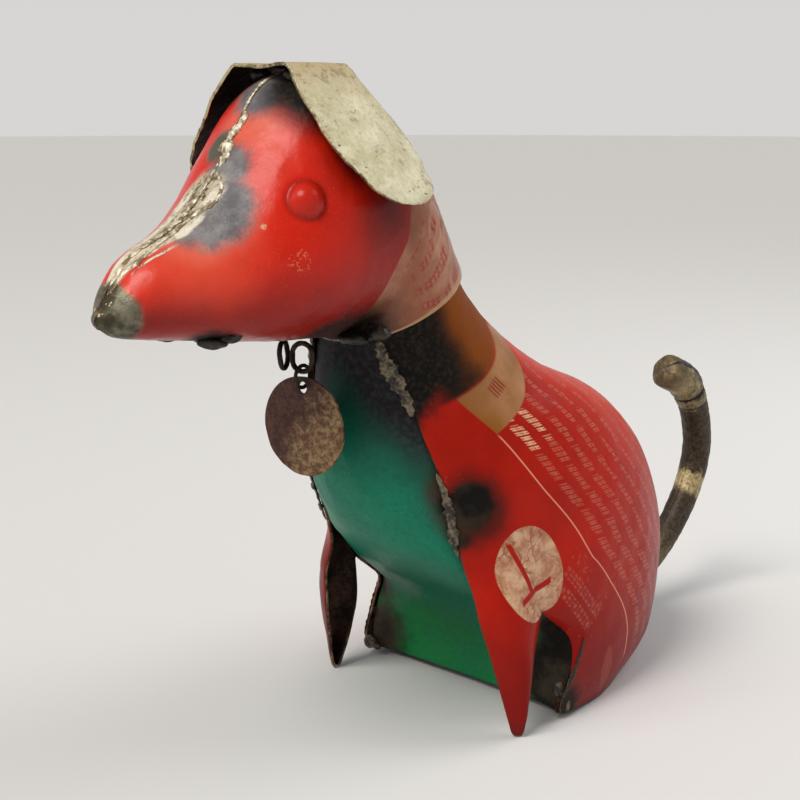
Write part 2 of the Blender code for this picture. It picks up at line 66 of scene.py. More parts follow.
BODY_STATIONS = (
    (-100.6, 125.5, -69.5, 146.5, 23.8, 2.0, 2.0, 0.50),
    (-101.2, 120.6, -66.0, 141.4, 24.4, 2.0, 2.0, 0.50),
    (-102.2, 113.5, -49.5, 123.5, 26.0, 2.0, 2.0, 0.50),
    (-103.6, 104.0, -24.0, 106.5, 29.6, 2.0, 2.0, 0.50),
    (-104.6, 91.0, 6.0, 93.5, 35.6, 2.0, 2.0, 0.50),
    (-101.8, 75.5, 26.0, 76.0, 41.0, 2.1, 2.0, 0.48),
    (-92.0, 59.0, 34.5, 58.5, 44.0, 2.2, 2.0, 0.46),
    (-73.0, 43.5, 38.0, 41.5, 45.0, 2.9, 2.1, 0.32),
    (-52.0, 28.5, 37.0, 25.0, 44.6, 4.5, 2.1, 0.16),
    (-47.0, 13.5, 34.0, 9.5, 44.0, 6.5, 2.0, 0.08),
    (-46.6, 0.0, 30.0, 0.0, 42.4, 11.0, 1.6, 0.04),
)
SEAT_LIFT = 2.6
SEAT_LIFT_FROM = -20.0
SEAT_LIFT_FADE = 30.0
CHEST_EDGE = (140, 138, 134, 128, 123, 122, 112, 110, 112, 96, 88)
CHEST_GRID = (170, 121)
CHEST_TUCK = (0.0, 0.0, 0.0, 0.0, 0.0, 0.0, 0.6, 2.6, 0.8, 0.6, 0.6)
NOSE_Y = -0.1824
SLIDE = np.array([0.0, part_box("head_left")[0].y - NOSE_Y, 0.0])


def srgb(red, green, blue):
    """A colour given in 0 to 255, as linear light."""
    share = np.array([red, green, blue]) / 255
    light = np.where(share <= 0.04045, share / 12.92, ((share + 0.055) / 1.055) ** 2.4)
    return (*light.tolist(), 1.0)


CHEST_GREEN = srgb(8, 122, 92)
CHEST_LOW_GREEN = srgb(8, 116, 56)
SOOT = srgb(26, 24, 24)
BARE_BURNT = srgb(64, 54, 42)


def curve(rows, places):
    """Rows of numbers read between them, on a Catmull-Rom curve: a cubic through each pair of
    rows whose slope at a row is half the step from the row before to the row after."""
    rows = np.asarray(rows, float)
    rows = rows[:, None] if rows.ndim == 1 else rows
    ends = np.vstack([2 * rows[0] - rows[1], rows, 2 * rows[-1] - rows[-2]])
    places = np.clip(np.asarray(places, float), 0, len(rows) - 1)
    start = np.minimum(places.astype(int), len(rows) - 2)
    u = (places - start)[..., None]
    before, low, high, after = (ends[start + k] for k in range(4))
    bend = 2 * before - 5 * low + 4 * high - after
    return low + 0.5 * u * (high - before + u * (bend + u * (3 * (low - high) + after - before)))


def skin(stations, places, angles):
    """Points of a skin through closed sections across the dog. A section runs from the angle
    0 at its high or back point, over its widest at 90, to 180 at its front one, and each half
    is a superellipse: the power 2 / squareness of the sine and of the cosine."""
    s = curve(stations, places)
    turn = np.radians(angles)
    cosine, sine = np.cos(turn), np.abs(np.sin(turn))
    square = np.where(cosine >= 0, s[..., 6], s[..., 5])
    share = np.where(cosine >= 0, 1 - s[..., 7], s[..., 7])
    along = s[..., 7] + share * np.sign(cosine) * np.abs(cosine) ** (2 / square)
    middle = s[..., 0:2] + (s[..., 2:4] - s[..., 0:2]) * along[..., None]
    x = s[..., 4] * sine ** (2 / square)
    return np.stack([x, middle[..., 0], middle[..., 1]], -1) * MM


def body_skin(places, angles):
    """The body's skin. Low on the body, z is lifted in proportion to how far forward it is."""
    points = skin(BODY_STATIONS, places, angles)
    y, z = points[..., 1] / MM, points[..., 2] / MM
    forward = np.clip((SEAT_LIFT_FROM - y) / (SEAT_LIFT_FROM - BODY_STATIONS[-1][0]), 0, 1)
    points[..., 2] += SEAT_LIFT * MM * forward * np.clip(1 - z / SEAT_LIFT_FADE, 0, 1)
    return points


def facing(points):
    """Unit normals of a grid of points: the cross product of its steps down and across."""
    normal = np.cross(np.gradient(points, axis=0), np.gradient(points, axis=1))
    return normal / np.maximum(np.linalg.norm(normal, axis=-1, keepdims=True), 1e-12)


def ripple(points, size, seed):
    """Smooth unevenness between about -1 and 1: nine sine waves in chosen directions, each
    with a wavelength near size, added up."""
    pick = np.random.default_rng(seed)
    waves = pick.normal(size=(9, 3))
    waves *= (2 * np.pi / size * pick.uniform(0.6, 1.4, 9) / np.linalg.norm(waves, axis=1))[:, None]
    return np.sin(points @ waves.T + pick.uniform(0, 6.28, 9)).sum(-1) / 3.4


def flare(points):
    """The seat's two front corners, bent by the heat: bell curves of the distance from the
    corner push it forwards at the bottom and back at the waist above it."""
    x, y, z = (points[..., k] / MM for k in range(3))
    near = np.exp(-(((np.abs(x) - 43) / 9) ** 2) - ((y + 46) / 9) ** 2)
    shift = 4.0 * np.exp(-(((z - 27) / 8) ** 2)) - 3.4 * np.exp(-(((z - 6) / 7) ** 2))
    moved = points.copy()
    moved[..., 1] += near * shift * MM
    return moved


def quads(index):
    """Faces between the neighbours in a grid of point numbers, read down then across."""
    corners = [index[:-1, :-1], index[1:, :-1], index[1:, 1:], index[:-1, 1:]]
    return np.stack(corners, -1).reshape(-1, 4)


def new_piece(name, points, faces, finishes, node, maps=None):
    """A mesh piece that rides on the frame and stands for a node, with its own UV maps."""
    mesh = bpy.data.meshes.new(name)
    mesh.from_pydata((np.asarray(points) + SLIDE).tolist(), [], np.asarray(faces).tolist())
    corner = np.empty(len(mesh.loops), int)
    mesh.loops.foreach_get("vertex_index", corner)
    for label, values in (maps or {}).items():
        layer = mesh.uv_layers.new(name=label)
        layer.data.foreach_set("uv", values.reshape(-1, 2)[corner].ravel())
    for each in finishes:
        mesh.materials.append(each)
    mesh.shade_smooth()
    piece = bpy.data.objects.new(name, mesh)
    bpy.context.scene.collection.objects.link(piece)
    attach(piece, "root")
    if node:
        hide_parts(node)
    return piece


def new_sheet(name, points, faces, finish, node, maps=None, back=None, rim=None):
    """A piece with a wall behind the drawn face, and its own finish inside and on the cut
    edge."""
    finishes = [finish, back or inside_steel, rim or cut_edge]
    piece = new_piece(name, points.reshape(-1, 3), faces, finishes, node, maps)
    wall = piece.modifiers.new("wall", "SOLIDIFY")
    wall.thickness = SHEET
    wall.offset = -1
    wall.material_offset = 1
    wall.material_offset_rim = 2
    piece.data.set_sharp_from_angle(angle=math.radians(50))


class Wire:
    """A shader socket that takes part in sums. Each step adds one node to the material."""

    def __init__(self, tree, socket):
        self.tree = tree
        self.socket = socket

    def node(self, kind, settings, values, out=0):
        """A node of any kind, with its settings set first and then its sockets."""
        made = self.tree.nodes.new("ShaderNode" + kind)
        for name, value in settings.items():
            setattr(made, name, value)
        for key, value in values.items():
            if isinstance(value, Wire):
                self.tree.links.new(value.socket, made.inputs[key])
            else:
                made.inputs[key].default_value = value
        return Wire(self.tree, made.outputs[out])

    def math(self, operation, *values):
        return self.node("Math", {"operation": operation}, dict(enumerate(values)))

    def __add__(self, other):
        return self.math("ADD", self, other)

    def __radd__(self, other):
        return self.math("ADD", other, self)

    def __sub__(self, other):
        return self.math("SUBTRACT", self, other)

    def __rsub__(self, other):
        return self.math("SUBTRACT", other, self)

    def __mul__(self, other):
        return self.math("MULTIPLY", self, other)

    def __rmul__(self, other):
        return self.math("MULTIPLY", other, self)

    def __truediv__(self, other):
        return self.math("DIVIDE", self, other)

    def __abs__(self):
        return self.math("ABSOLUTE", self)

    def most(self, other):
        return self.math("MAXIMUM", self, other)

    def whole(self):
        return self.math("FLOOR", self)

    def dice(self, other):
        """A chance from 0 to 1 for each pair of whole numbers."""
        key = self.node("CombineXYZ", {}, {0: self, 1: other})
        return key.node("TexWhiteNoise", {"noise_dimensions": "2D"}, {"Vector": key})

    def rise(self, low, high):
        """0 below low and 1 above high, with a smooth step between. It falls if high < low."""
        values = {"Value": self, "From Min": low, "From Max": high}
        return self.node("MapRange", {"interpolation_type": "SMOOTHSTEP"}, values)

    def part(self, axis):
        return self.node("SeparateXYZ", {}, {0: self}, axis)

    def noise(self, size, detail=3.0, rough=0.55, stretch=(1, 1, 1)):
        """Cloudy noise about 0.5, with features of the given size."""
        moved = self.node("VectorMath", {"operation": "MULTIPLY"}, {0: self, 1: stretch})
        values = {"Vector": moved, "Scale": 1 / size, "Detail": detail, "Roughness": rough}
        return self.node("TexNoise", {}, values)

    def spot(self, centre, radius, soft, ragged=0.0):
        """1 inside a ball round centre and 0 outside it, with a soft or a ragged edge."""
        gap = self.node("VectorMath", {"operation": "DISTANCE"}, {0: self, 1: centre}, 1)
        if ragged:
            gap = gap + (self.noise(radius * 0.45, 4.0) - 0.5) * ragged
        return gap.rise(radius + soft, radius - soft)

    def spots(self, *each):
        """1 inside any of several spots."""
        first, *others = (self.spot(*one) for one in each)
        for other in others:
            first = first.most(other)
        return first

    def over(self, below, above):
        """This mask lays one colour over another."""
        values = {0: self, 6: below, 7: above}
        return self.node("Mix", {"data_type": "RGBA"}, values, 2)


def start_finish(name, **fixed):
    """A new material, and the place on the piece in the drawing's millimetres."""
    material = bpy.data.materials.new(name)
    material.use_nodes = True
    tree = material.node_tree
    for label, value in fixed.items():
        tree.nodes["Principled BSDF"].inputs[label.replace("_", " ")].default_value = value
    place = Wire(tree, tree.nodes.new("ShaderNodeTexCoord").outputs["Object"])
    centred = place.node("VectorMath", {"operation": "SUBTRACT"}, {0: place, 1: SLIDE.tolist()})
    values = {0: centred, "Scale": 1 / MM}
    return material, centred.node("VectorMath", {"operation": "SCALE"}, values)


def layers(colour, *coats):
    """Lays coats over a colour, each one a mask and its own colour."""
    for mask, above in coats:
        colour = mask.over(colour, above)
    return colour


def end_finish(material, colour, roughness=None, metallic=None, height=None, depth=0.0002):
    """Joins what varies over the piece to the material's shader."""
    tree = material.node_tree
    shader = tree.nodes["Principled BSDF"]
    tree.links.new(colour.socket, shader.inputs["Base Color"])
    if roughness is not None:
        tree.links.new(roughness.socket, shader.inputs["Roughness"])
    if metallic is not None:
        tree.links.new(metallic.socket, shader.inputs["Metallic"])
    if height is not None:
        values = {"Strength": 1.0, "Distance": depth, "Height": height}
        tree.links.new(height.node("Bump", {}, values).socket, shader.inputs["Normal"])
    return material


def bare_finish(name, dark, pale, grain=2.5):
    """Heat-darkened bare steel: two tones in clouds, pale where it is rubbed."""
    material, at = start_finish(name, Metallic=0.75)
    cloud = at.noise(grain * 2.5, 5.0, 0.6)
    speck = at.noise(grain * 0.3, 3.0, 0.6)
    tone = (cloud * 0.7 + speck * 0.3).rise(0.42, 0.62)
    rough = 0.62 - tone * 0.2
    return end_finish(material, tone.over(dark, pale), rough, None, speck + cloud, 0.00025)


inside_steel = bare_finish("inside_steel", srgb(30, 16, 12), srgb(66, 42, 30), 3.0)
cut_edge = bare_finish("cut_edge", srgb(70, 50, 38), srgb(170, 140, 105), 1.2)


def chest_finish():
    """Green paint, sooty above a slanting line and burnt at the corners and the seams, with painted
    shade under the belly.
    """
    material, at = start_finish("chest_green", Specular_IOR_Level=0.22)
    x, z = abs(at.part(0)), at.part(2)
    cloud = at.noise(14.0, 5.0, 0.6)
    fine = at.noise(1.6, 3.0, 0.6)
    speck = at.noise(0.6, 2.0, 0.6)
    wave = (cloud - 0.5) * 12.0
    soot = (z + x * 0.9 + wave).rise(97.0, 117.0)
    smoke = (z + x * 0.95 + wave).rise(84.0, 112.0) * 0.6
    edge = (x - abs(z - 76.0) * 0.10 + wave * 0.25).rise(22.0, 26.5)
    edge = edge * z.rise(44.0, 56.0)
    # fold marks painted shade: the belly above the waist faces down, so it is painted a darker
    # green.
    fold = at.spot((0, -60, 36), 24.0, 16.0)
    corner = at.spots(((41, -46, 12), 17.0, 5.0, 8.0), ((-38, -48, 9), 11.0, 6.0, 8.0))
    flap = at.spots(((42, -45, 27), 12.0, 4.0, 4.0), ((-40, -48, 26), 9.0, 5.0, 6.0))
    burnt = corner.most(flap).most(edge)
    smudge = at.spot((-22, -52, 33), 7.0, 5.0, 6.0) * fine.rise(0.25, 0.6) * 0.75
    colour = layers(
        (z + wave * 0.5).rise(31.0, 20.0).over(CHEST_GREEN, CHEST_LOW_GREEN),
        (fold * 0.5, srgb(4, 52, 34)),
        (cloud.rise(0.35, 0.7) * 0.3, srgb(8, 92, 78)),
        (fine.rise(0.5, 0.7) * 0.25, srgb(4, 60, 44)),
        (speck.rise(0.70, 0.74), srgb(80, 150, 110)),
        (smoke * 0.8, srgb(20, 46, 50)),
        (soot, fine.rise(0.4, 0.7).over(SOOT, srgb(54, 50, 56))),
        (smudge, srgb(120, 132, 122)),
        (burnt, cloud.rise(0.42, 0.62).over(srgb(20, 17, 12), BARE_BURNT)),
    )
    rough = 0.46 + soot * 0.2 + burnt * 0.15 + (fine - 0.5) * 0.14
    relief = fine + cloud * 2.0 + burnt * fine
    return end_finish(material, colour, rough, burnt * 0.4, relief, 0.0002)


chest_places = np.linspace(0.9, len(BODY_STATIONS) - 1, CHEST_GRID[0])
chest_shares = np.linspace(-1, 1, CHEST_GRID[1])
chest_edges = curve(CHEST_EDGE, chest_places)[:, 0]
chest_angles = 180 - (180 - chest_edges)[:, None] * np.abs(chest_shares)[None, :]
chest_rows = np.repeat(chest_places[:, None], CHEST_GRID[1], 1)
chest = body_skin(chest_rows, chest_angles)
chest[:, chest_shares < 0, 0] *= -1
outer_part = np.clip((np.abs(chest_shares) - 0.45) / 0.25, 0, 1)
tuck = curve(CHEST_TUCK, chest_places) * MM * outer_part
dents = (ripple(chest, 0.030, 3) * 0.35 + ripple(chest, 0.009, 4) * 0.08) * MM
chest -= facing(chest) * (SHEET + SEAM_GAP + tuck + np.abs(dents))[..., None]
chest = flare(chest)
chest_index = np.arange(chest_rows.size).reshape(CHEST_GRID)
new_sheet("chest_sheet", chest, quads(chest_index), chest_finish(), "chest")

# Each side is one red sheet: half the neck and the back, the haunch, and a front leg that is
# cut free of the haunch by a notch and curled. The print on it bends with the metal: a fine
# pale rule, rows of small strokes beside it and a pale oval that runs onto the leg.
SIDE_EDGE = (148, 146, 142, 136.7, 137, 136, 141.5, 150, 150, 150, 150)
HAUNCH_EDGE = (110, 110, 108, 106, 106, 108, 112, 120, 127, 108, 97)
SHOULDER_AT = 5.6
NOTCH_AT = 7.45
LEG_STATIONS = (
    (60.0, 28.0, -80.0, 42.0, -62.0, 5.0),
    (48.0, 30.4, -78.6, 43.4, -60.5, 4.8),
    (36.0, 33.1, -76.3, 43.4, -59.0, 5.4),
    (29.0, 34.8, -74.8, 38.2, -56.9, 8.0),
    (22.0, 36.1, -73.0, 36.7, -57.8, 8.2),
    (12.0, 37.5, -70.6, 36.3, -61.0, 6.8),
    (5.0, 38.6, -68.9, 37.5, -63.1, 4.8),
    (1.6, 38.9, -68.1, 38.1, -63.8, 3.6),
    (0.0, 39.4, -66.8, 38.8, -64.8, 2.0),
)
UPPER_ROWS, LOWER_ROWS, LEG_ROWS = 150, 50, 80
TOE_LIFT = 0.35
SIDE_FROM_MIDDLE = 0.00025
SIDE_INSIDE_BOX = 0.00012
HAUNCH_COLUMNS, LEG_COLUMNS = 90, 40
RULE_AT = (126, 122, 119, 116, 110.5, 104.3, 97.2, 84.5, 74.8, 69.5, 66)
ROW_PITCH = 8.0
WORD_PITCH = 12.5
LETTER_PITCH = 2.1
BLOCK_PITCH = 5.2
SIDE_RED = srgb(182, 27, 6)
SIDE_DEEP_RED = srgb(124, 10, 6)
SIDE_LIT_RED = srgb(226, 60, 24)


def leg_strip(heights, shares):
    """The curled leg: at each height a strip from its front edge, share 0, to its rear edge,
    share 1, bowed outwards by the power 0.8 of a half sine. The stations are read between and
    averaged over a window, up to 9 mm either way, that narrows towards the tip."""
    table = np.array(LEG_STATIONS)[::-1]
    window = np.minimum(9.0, heights * 0.6)[:, None] * np.linspace(-1, 1, 9)
    near = np.clip(heights[:, None] + window, 0, 60)
    read = [np.interp(near, table[:, 0], table[:, k]).mean(1)[:, None] for k in range(1, 6)]
    front, rear, bow = np.stack(read[0:2], -1), np.stack(read[2:4], -1), read[4]
    across = rear - front
    outward = np.stack([across[..., 1], -across[..., 0]], -1)
    outward /= np.linalg.norm(outward, axis=-1, keepdims=True)
    rise = np.sin(np.pi * shares)[None, :] ** 0.8
    flat = front + across * shares[None, :, None] + outward * (bow * rise)[..., None]
    level = np.repeat(heights[:, None], len(shares), 1)
    return np.concatenate([flat, level[..., None]], -1) * MM


def printed_rows(at, place, angle, fine):
    """Rows of strokes beside the rule: where ink lies, where it is a row's paler first word,
    and where the rule itself runs."""
    print_map = at.node("UVMap", {"uv_map": "print"}, {})
    along, across = print_map.part(0), print_map.part(1)
    row = across.math("ROUND", across / ROW_PITCH)
    off = across - row * ROW_PITCH
    shift = row * 6.1
    word = along.math("FRACT", (along + shift) / WORD_PITCH)
    letter = (along + shift * 1.7) / LETTER_PITCH
    cell = letter.whole()
    within = letter - cell
    chance = cell.dice(row)
    slim = row.rise(2.4, 4.5)
    tall = (1.5 + chance * 1.0) * (1.0 - slim * 0.45)
    bar = abs(abs(within - 0.5) - 0.2).rise(0.17, 0.09) * abs(off).rise(tall + 0.2, tall - 0.2)
    tie = abs(abs(off) - chance * 1.3).rise(0.55, 0.3) * abs(within - 0.5).rise(0.42, 0.34)
    marks = bar.most(tie * 0.9) * word.rise(0.13, 0.17)
    marks = marks * across.rise(4.0, 4.4) * across.rise(84.0, 80.0)
    begin = 3.55 - row * 0.16
    marks = marks * (place - begin).rise(0.0, 0.04) * place.rise(9.0, 8.7) * angle.rise(10.0, 20.0)
    first_word = (place - begin).rise(1.1, 0.9) * row.rise(2.6, 2.4)
    marks = marks * (0.4 + fine.rise(0.4, 0.6) * 0.4 + first_word * 0.4)
    rule = abs(across).rise(0.42, 0.22) * place.rise(3.95, 4.05) * place.rise(9.2, 8.9)
    return marks, first_word, rule


def pale_oval(at, speck):
    """The oval that runs onto the leg, with a worn red motif of a hook and a foot: where it
    lies, and its paint."""
    y, z = at.part(1), at.part(2)
    turned_y, turned_z = y + (z - 50.0) * 0.07, z - 50.0
    oval_y, oval_z = (turned_y + 61.5) / 10.8, turned_z / 14.6
    reach = oval_y * oval_y + oval_z * oval_z + (speck - 0.5) * 0.03
    oval = reach.rise(1.02, 0.97) * at.part(0).rise(24.0, 25.0)
    mottle = at.noise(5.0, 4.0, 0.7)
    pale = mottle.rise(0.35, 0.65).over(srgb(176, 120, 92), srgb(214, 176, 142))
    hook = abs(oval_y * 0.9 + oval_z * 0.45 + 0.22).rise(0.085, 0.05)
    hook = hook * abs(oval_z - 0.15).rise(0.6, 0.5)
    foot = abs(oval_z - oval_y * 0.35 + 0.38).rise(0.085, 0.05)
    foot = foot * abs(oval_y - 0.05).rise(0.55, 0.5)
    crack = abs(at.noise(9.0, 2.0) - 0.5).rise(0.012, 0.004) * 0.6
    pale = crack.over(pale, srgb(130, 70, 46))
    pale = hook.most(foot).over(pale, srgb(168, 30, 18))
    return oval, pale


def slanting_rows(at, fine):
    """Where the ink of three slanting rows of broad strokes behind the oval lies."""
    y, z = at.part(1), at.part(2)
    slant_t = (y + 52.0) * 0.66 - (z - 46.0) * 0.75
    slant_n = (y + 52.0) * 0.75 + (z - 46.0) * 0.66
    line = slant_n.math("ROUND", (slant_n + 1.0) / BLOCK_PITCH)
    line_off = slant_n + 1.0 - line * BLOCK_PITCH
    stub = slant_t / 2.0 + line * 0.4
    stub_cell = stub.whole()
    luck = stub_cell.dice(line)
    block = abs(stub - stub_cell - 0.5).rise(0.4, 0.3) * abs(line_off).rise(1.75, 1.55)
    block = block * (1.0 - abs(abs(line_off) - luck * 1.2).rise(0.5, 0.25) * 0.8)
    block = block * slant_t.rise(-1.0, 0.0) * slant_t.rise(23.0, 22.0)
    block = block * slant_n.rise(-4.4, -3.6) * slant_n.rise(6.6, 6.0)
    block = block * (0.5 + fine.rise(0.4, 0.6) * 0.4)
    return block * at.part(0).rise(20.0, 30.0)


def label_paint(place, angle, cloud):
    """The buff label round the neck, browned towards the throat, with a short row of strokes."""
    patch = cloud.rise(0.35, 0.65).over(srgb(158, 106, 62), srgb(186, 134, 92))
    brown = (angle + (cloud - 0.5) * 50.0).rise(96.0, 118.0)
    patch = brown.over(patch, srgb(150, 92, 34))
    neck_word = abs(place - 2.75 - (angle - 80) * 0.02).rise(0.16, 0.1)
    neck_word = neck_word * abs(angle - 92.0).rise(6.0, 5.0)
    bars = angle.math("FRACT", angle * 0.45).rise(0.3, 0.5)
    patch = (neck_word * bars * 0.8).over(patch, srgb(140, 34, 16))
    return patch


def side_finish(name, printed):
    """Red paint with its print, lightened as painted light on the top and the back and
    darkened as painted shade low down, at the rear of the haunch and on the far leg. The UV map
    sheet holds the station and the angle, and the map print the distance along the rule and
    across from it, in millimetres."""
    material, at = start_finish(name, Specular_IOR_Level=0.12)
    sheet_map = at.node("UVMap", {"uv_map": "sheet"}, {})
    place, angle = sheet_map.part(0) * 10.0, sheet_map.part(1) * 180.0
    across = at.node("UVMap", {"uv_map": "print"}, {}).part(1)
    x, y, z = abs(at.part(0)), at.part(1), at.part(2)
    cloud = at.noise(16.0, 5.0, 0.6)
    fine = at.noise(1.4, 4.0, 0.65)
    speck = at.noise(0.5, 2.0, 0.6)

    marks, first_word, rule = printed_rows(at, place, angle, fine)

    left = 2.0 + (angle - 50.0).most(0.0) * 0.0165
    right = 2.35 + (angle - 44.0).most(0.0) * 0.0245
    wave = (cloud - 0.5) * 0.12
    label = (place - left - wave).rise(0.0, 0.06) * (right - place - wave * 0.2).rise(0.0, 0.04)
    label = label * across.rise(-0.3, 0.2) * angle.rise(30.0, 34.0)
    bronze = (left - place).rise(-0.08, 0.06) * angle.rise(134.0, 114.0)
    soot_line = 3.05 + (angle - 118.0).most(0.0) * 0.04
    soot = (soot_line - place + (cloud - 0.5) * 1.4).rise(-0.1, 0.5)
    soot = soot * (angle + cloud * 20).rise(96.0, 128.0)
    mirrored = at.node("CombineXYZ", {}, {0: x, 1: y, 2: z})
    weld_burn = mirrored.spots(((32, -80, 72), 7.8, 1.6, 3.0), ((30, -82, 62), 4.0, 2.0, 3.0))
    halo = mirrored.spot((32.5, -79, 71), 11.5, 4.0, 3.0)
    ridge_burn = at.spot((9, -6, 100.5), 6.0, 2.0, 4.0)
    toe = (z + cloud * 6.0).rise(11.0, 2.0) * y.rise(-52.0, -56.0)
    # Painted shade: the inside of the far leg, turned from the light, is painted a cloudy maroon.
    far_leg_shade = at.part(0).rise(-20.0, -30.0) * z.rise(62.0, 40.0) * y.rise(-54.0, -64.0)
    notch = mirrored.spot((43, -46, 5), 6.0, 3.0, 5.0)

    # Painted light: the top and the back of the sheet are lightened to a warm red, where the light
    # falls on them.
    painted_top_light = (z + y * 0.35).rise(50.0, 104.0) * angle.rise(80.0, 40.0)
    colour = layers(
        (cloud.rise(0.3, 0.7) * 0.35).over(SIDE_RED, SIDE_DEEP_RED),
        (painted_top_light * 0.75, SIDE_LIT_RED),
        # Painted shade: a darker red low on the rear of the haunch, and towards the bottom of the
        # body.
        (y.rise(-20.0, 25.0) * 0.5 * z.rise(95.0, 50.0), srgb(126, 16, 16)),
        (place.rise(6.0, 9.5) * 0.65, srgb(92, 8, 10)),
    )
    if printed:
        ink = first_word.over(srgb(196, 104, 82), srgb(232, 176, 138))
        dots = at.spots(((33.0, -61.5, 98.6), 0.7, 0.2), ((31.2, -55.0, 102.8), 0.7, 0.2))
        mark_y = (y + 26.0) / 3.2
        tail_mark = (mark_y * mark_y + abs((z - 11.0) / 8.0)).rise(1.1, 0.9)
        colour = layers(
            colour,
            (marks * 0.9, ink),
            (rule * 0.9, srgb(232, 150, 124)),
            (dots, srgb(240, 200, 180)),
            pale_oval(at, speck),
            (slanting_rows(at, fine) * 0.75, srgb(186, 98, 80)),
            (tail_mark * 0.35, srgb(176, 84, 70)),
        )
    heat = (angle + (cloud - 0.5) * 30.0).rise(80.0, 108.0)
    tint = heat.over(srgb(140, 70, 8), srgb(40, 24, 14))
    tint = angle.rise(40.0, 22.0).over(tint, srgb(150, 42, 20))
    shaded_maroon = cloud.rise(0.4, 0.6).over(srgb(58, 12, 12), srgb(104, 22, 20))
    burnt = soot.most(weld_burn).most(bronze).most(notch)
    scuff = (fine * at.noise(24.0, 2.0)).rise(0.36, 0.42) * (1.0 - burnt) * 0.3
    colour = layers(
        colour,
        (label, label_paint(place, angle, cloud)),
        (bronze, tint),
        (soot, fine.rise(0.45, 0.7).over(srgb(22, 19, 16), srgb(52, 44, 38))),
        (halo * 0.85, srgb(56, 20, 14)),
        (weld_burn, cloud.rise(0.4, 0.6).over(srgb(20, 18, 16), srgb(58, 46, 34))),
        (ridge_burn, speck.rise(0.4, 0.6).over(srgb(58, 40, 12), srgb(108, 72, 28))),
        (toe * 0.6, srgb(74, 34, 24)),
        (far_leg_shade * 0.75, shaded_maroon),
        (notch, srgb(40, 32, 24)),
        (scuff, srgb(206, 96, 70)),
    )
    rough = 0.34 + burnt * 0.22 + (fine - 0.5) * 0.12 + (cloud - 0.5) * 0.1
    relief = fine * 0.4 + cloud + marks * 0.25 + burnt * speck * 1.5
    return end_finish(material, colour, rough, burnt * 0.25, relief, 0.00018)


def side_sheet():
    """The left sheet's points, its grids of point numbers and its two UV maps."""
    last = len(BODY_STATIONS) - 1
    haunch = np.linspace(0, 1, HAUNCH_COLUMNS)
    leg = np.linspace(1, 0, LEG_COLUMNS)
    upper = np.linspace(0, NOTCH_AT, UPPER_ROWS)
    edge, notch = curve(SIDE_EDGE, upper), curve(HAUNCH_EDGE, upper)
    angles = np.concatenate([haunch * notch, notch + (edge - notch) * (1 - leg)[1:]], 1)
    places = np.repeat(upper[:, None], angles.shape[1], 1)
    top = body_skin(places, angles)
    blend = np.clip((upper - SHOULDER_AT) / (NOTCH_AT - SHOULDER_AT), 0, 1)
    blend = (blend * blend * (3 - 2 * blend))[:, None, None]
    strip = leg_strip(top[:, HAUNCH_COLUMNS - 1, 2] / MM, leg)
    strip += (top[:, HAUNCH_COLUMNS - 1 : HAUNCH_COLUMNS] - strip[:, :1]) * leg[None, :, None]
    top[:, HAUNCH_COLUMNS - 1 :] += (strip - top[:, HAUNCH_COLUMNS - 1 :]) * blend
    lower = np.linspace(NOTCH_AT, last, LOWER_ROWS + 1)[1:]
    low_angles = haunch * curve(HAUNCH_EDGE, lower)
    low_places = np.repeat(lower[:, None], HAUNCH_COLUMNS, 1)
    low = body_skin(low_places, low_angles)
    drop = np.linspace(1, 0, LEG_ROWS + 1)[1:] ** 1.4
    shank = leg_strip(TOE_LIFT + (top[-1, HAUNCH_COLUMNS - 1, 2] / MM - TOE_LIFT) * drop, leg)
    step = top[-1, HAUNCH_COLUMNS - 1] - leg_strip(top[-1:, HAUNCH_COLUMNS - 1, 2] / MM, leg)[0, 0]
    fade = np.clip((drop - 0.4) / 0.6, 0, 1) ** 2
    shank += step * leg[None, :, None] * fade[:, None, None]
    shank_places = np.repeat((NOTCH_AT + 2.5 * (1 - drop))[:, None], LEG_COLUMNS, 1)
    shank_angles = np.repeat(angles[-1:, HAUNCH_COLUMNS - 1 :], LEG_ROWS, 0)
    points = np.vstack([g.reshape(-1, 3) for g in (top, low, shank)])
    place = np.concatenate([g.ravel() for g in (places, low_places, shank_places)])
    angle = np.concatenate([g.ravel() for g in (angles, low_angles, shank_angles)])
    count = top.shape[0] * top.shape[1]
    first = np.arange(count).reshape(top.shape[:2])
    second = count + np.arange(low_places.size).reshape(low_places.shape)
    third = count + low_places.size + np.arange(shank_places.size).reshape(shank_places.shape)
    grids = [
        first,
        np.vstack([first[-1:, :HAUNCH_COLUMNS], second]),
        np.vstack([first[-1:, HAUNCH_COLUMNS - 1 :], third]),
    ]
    return points, grids, place, angle


def print_places(place, angle):
    """Distance along the printed rule, and across from it towards the back, in millimetres:
    arc lengths of the skin at the same station, added up in steps of one degree and read at
    the angle."""
    steps, turns = np.linspace(0, 10, 101), np.arange(0, 181.0)
    ring = body_skin(*np.meshgrid(steps, turns, indexing="ij")) / MM
    arc = np.cumsum(np.linalg.norm(np.diff(ring, axis=1, prepend=ring[:, :1]), axis=-1), 1)
    rule_angle = curve(RULE_AT, steps)[:, 0]
    on_rule = np.array([np.interp(a, turns, row) for a, row in zip(rule_angle, arc)])
    spine = body_skin(steps, rule_angle) / MM
    length = np.cumsum(np.linalg.norm(np.diff(spine, axis=0, prepend=spine[:1]), axis=-1))
    row = np.clip(place * 10, 0, 99.999)
    low, share = row.astype(int), row % 1
    column = np.clip(angle, 0, 179.999)
    turn, part = column.astype(int), column % 1
    read = (arc[low, turn] * (1 - part) + arc[low, turn + 1] * part) * (1 - share)
    read += (arc[low + 1, turn] * (1 - part) + arc[low + 1, turn + 1] * part) * share
    across = on_rule[low] * (1 - share) + on_rule[low + 1] * share - read
    return np.stack([np.interp(place, steps, length), across], -1)


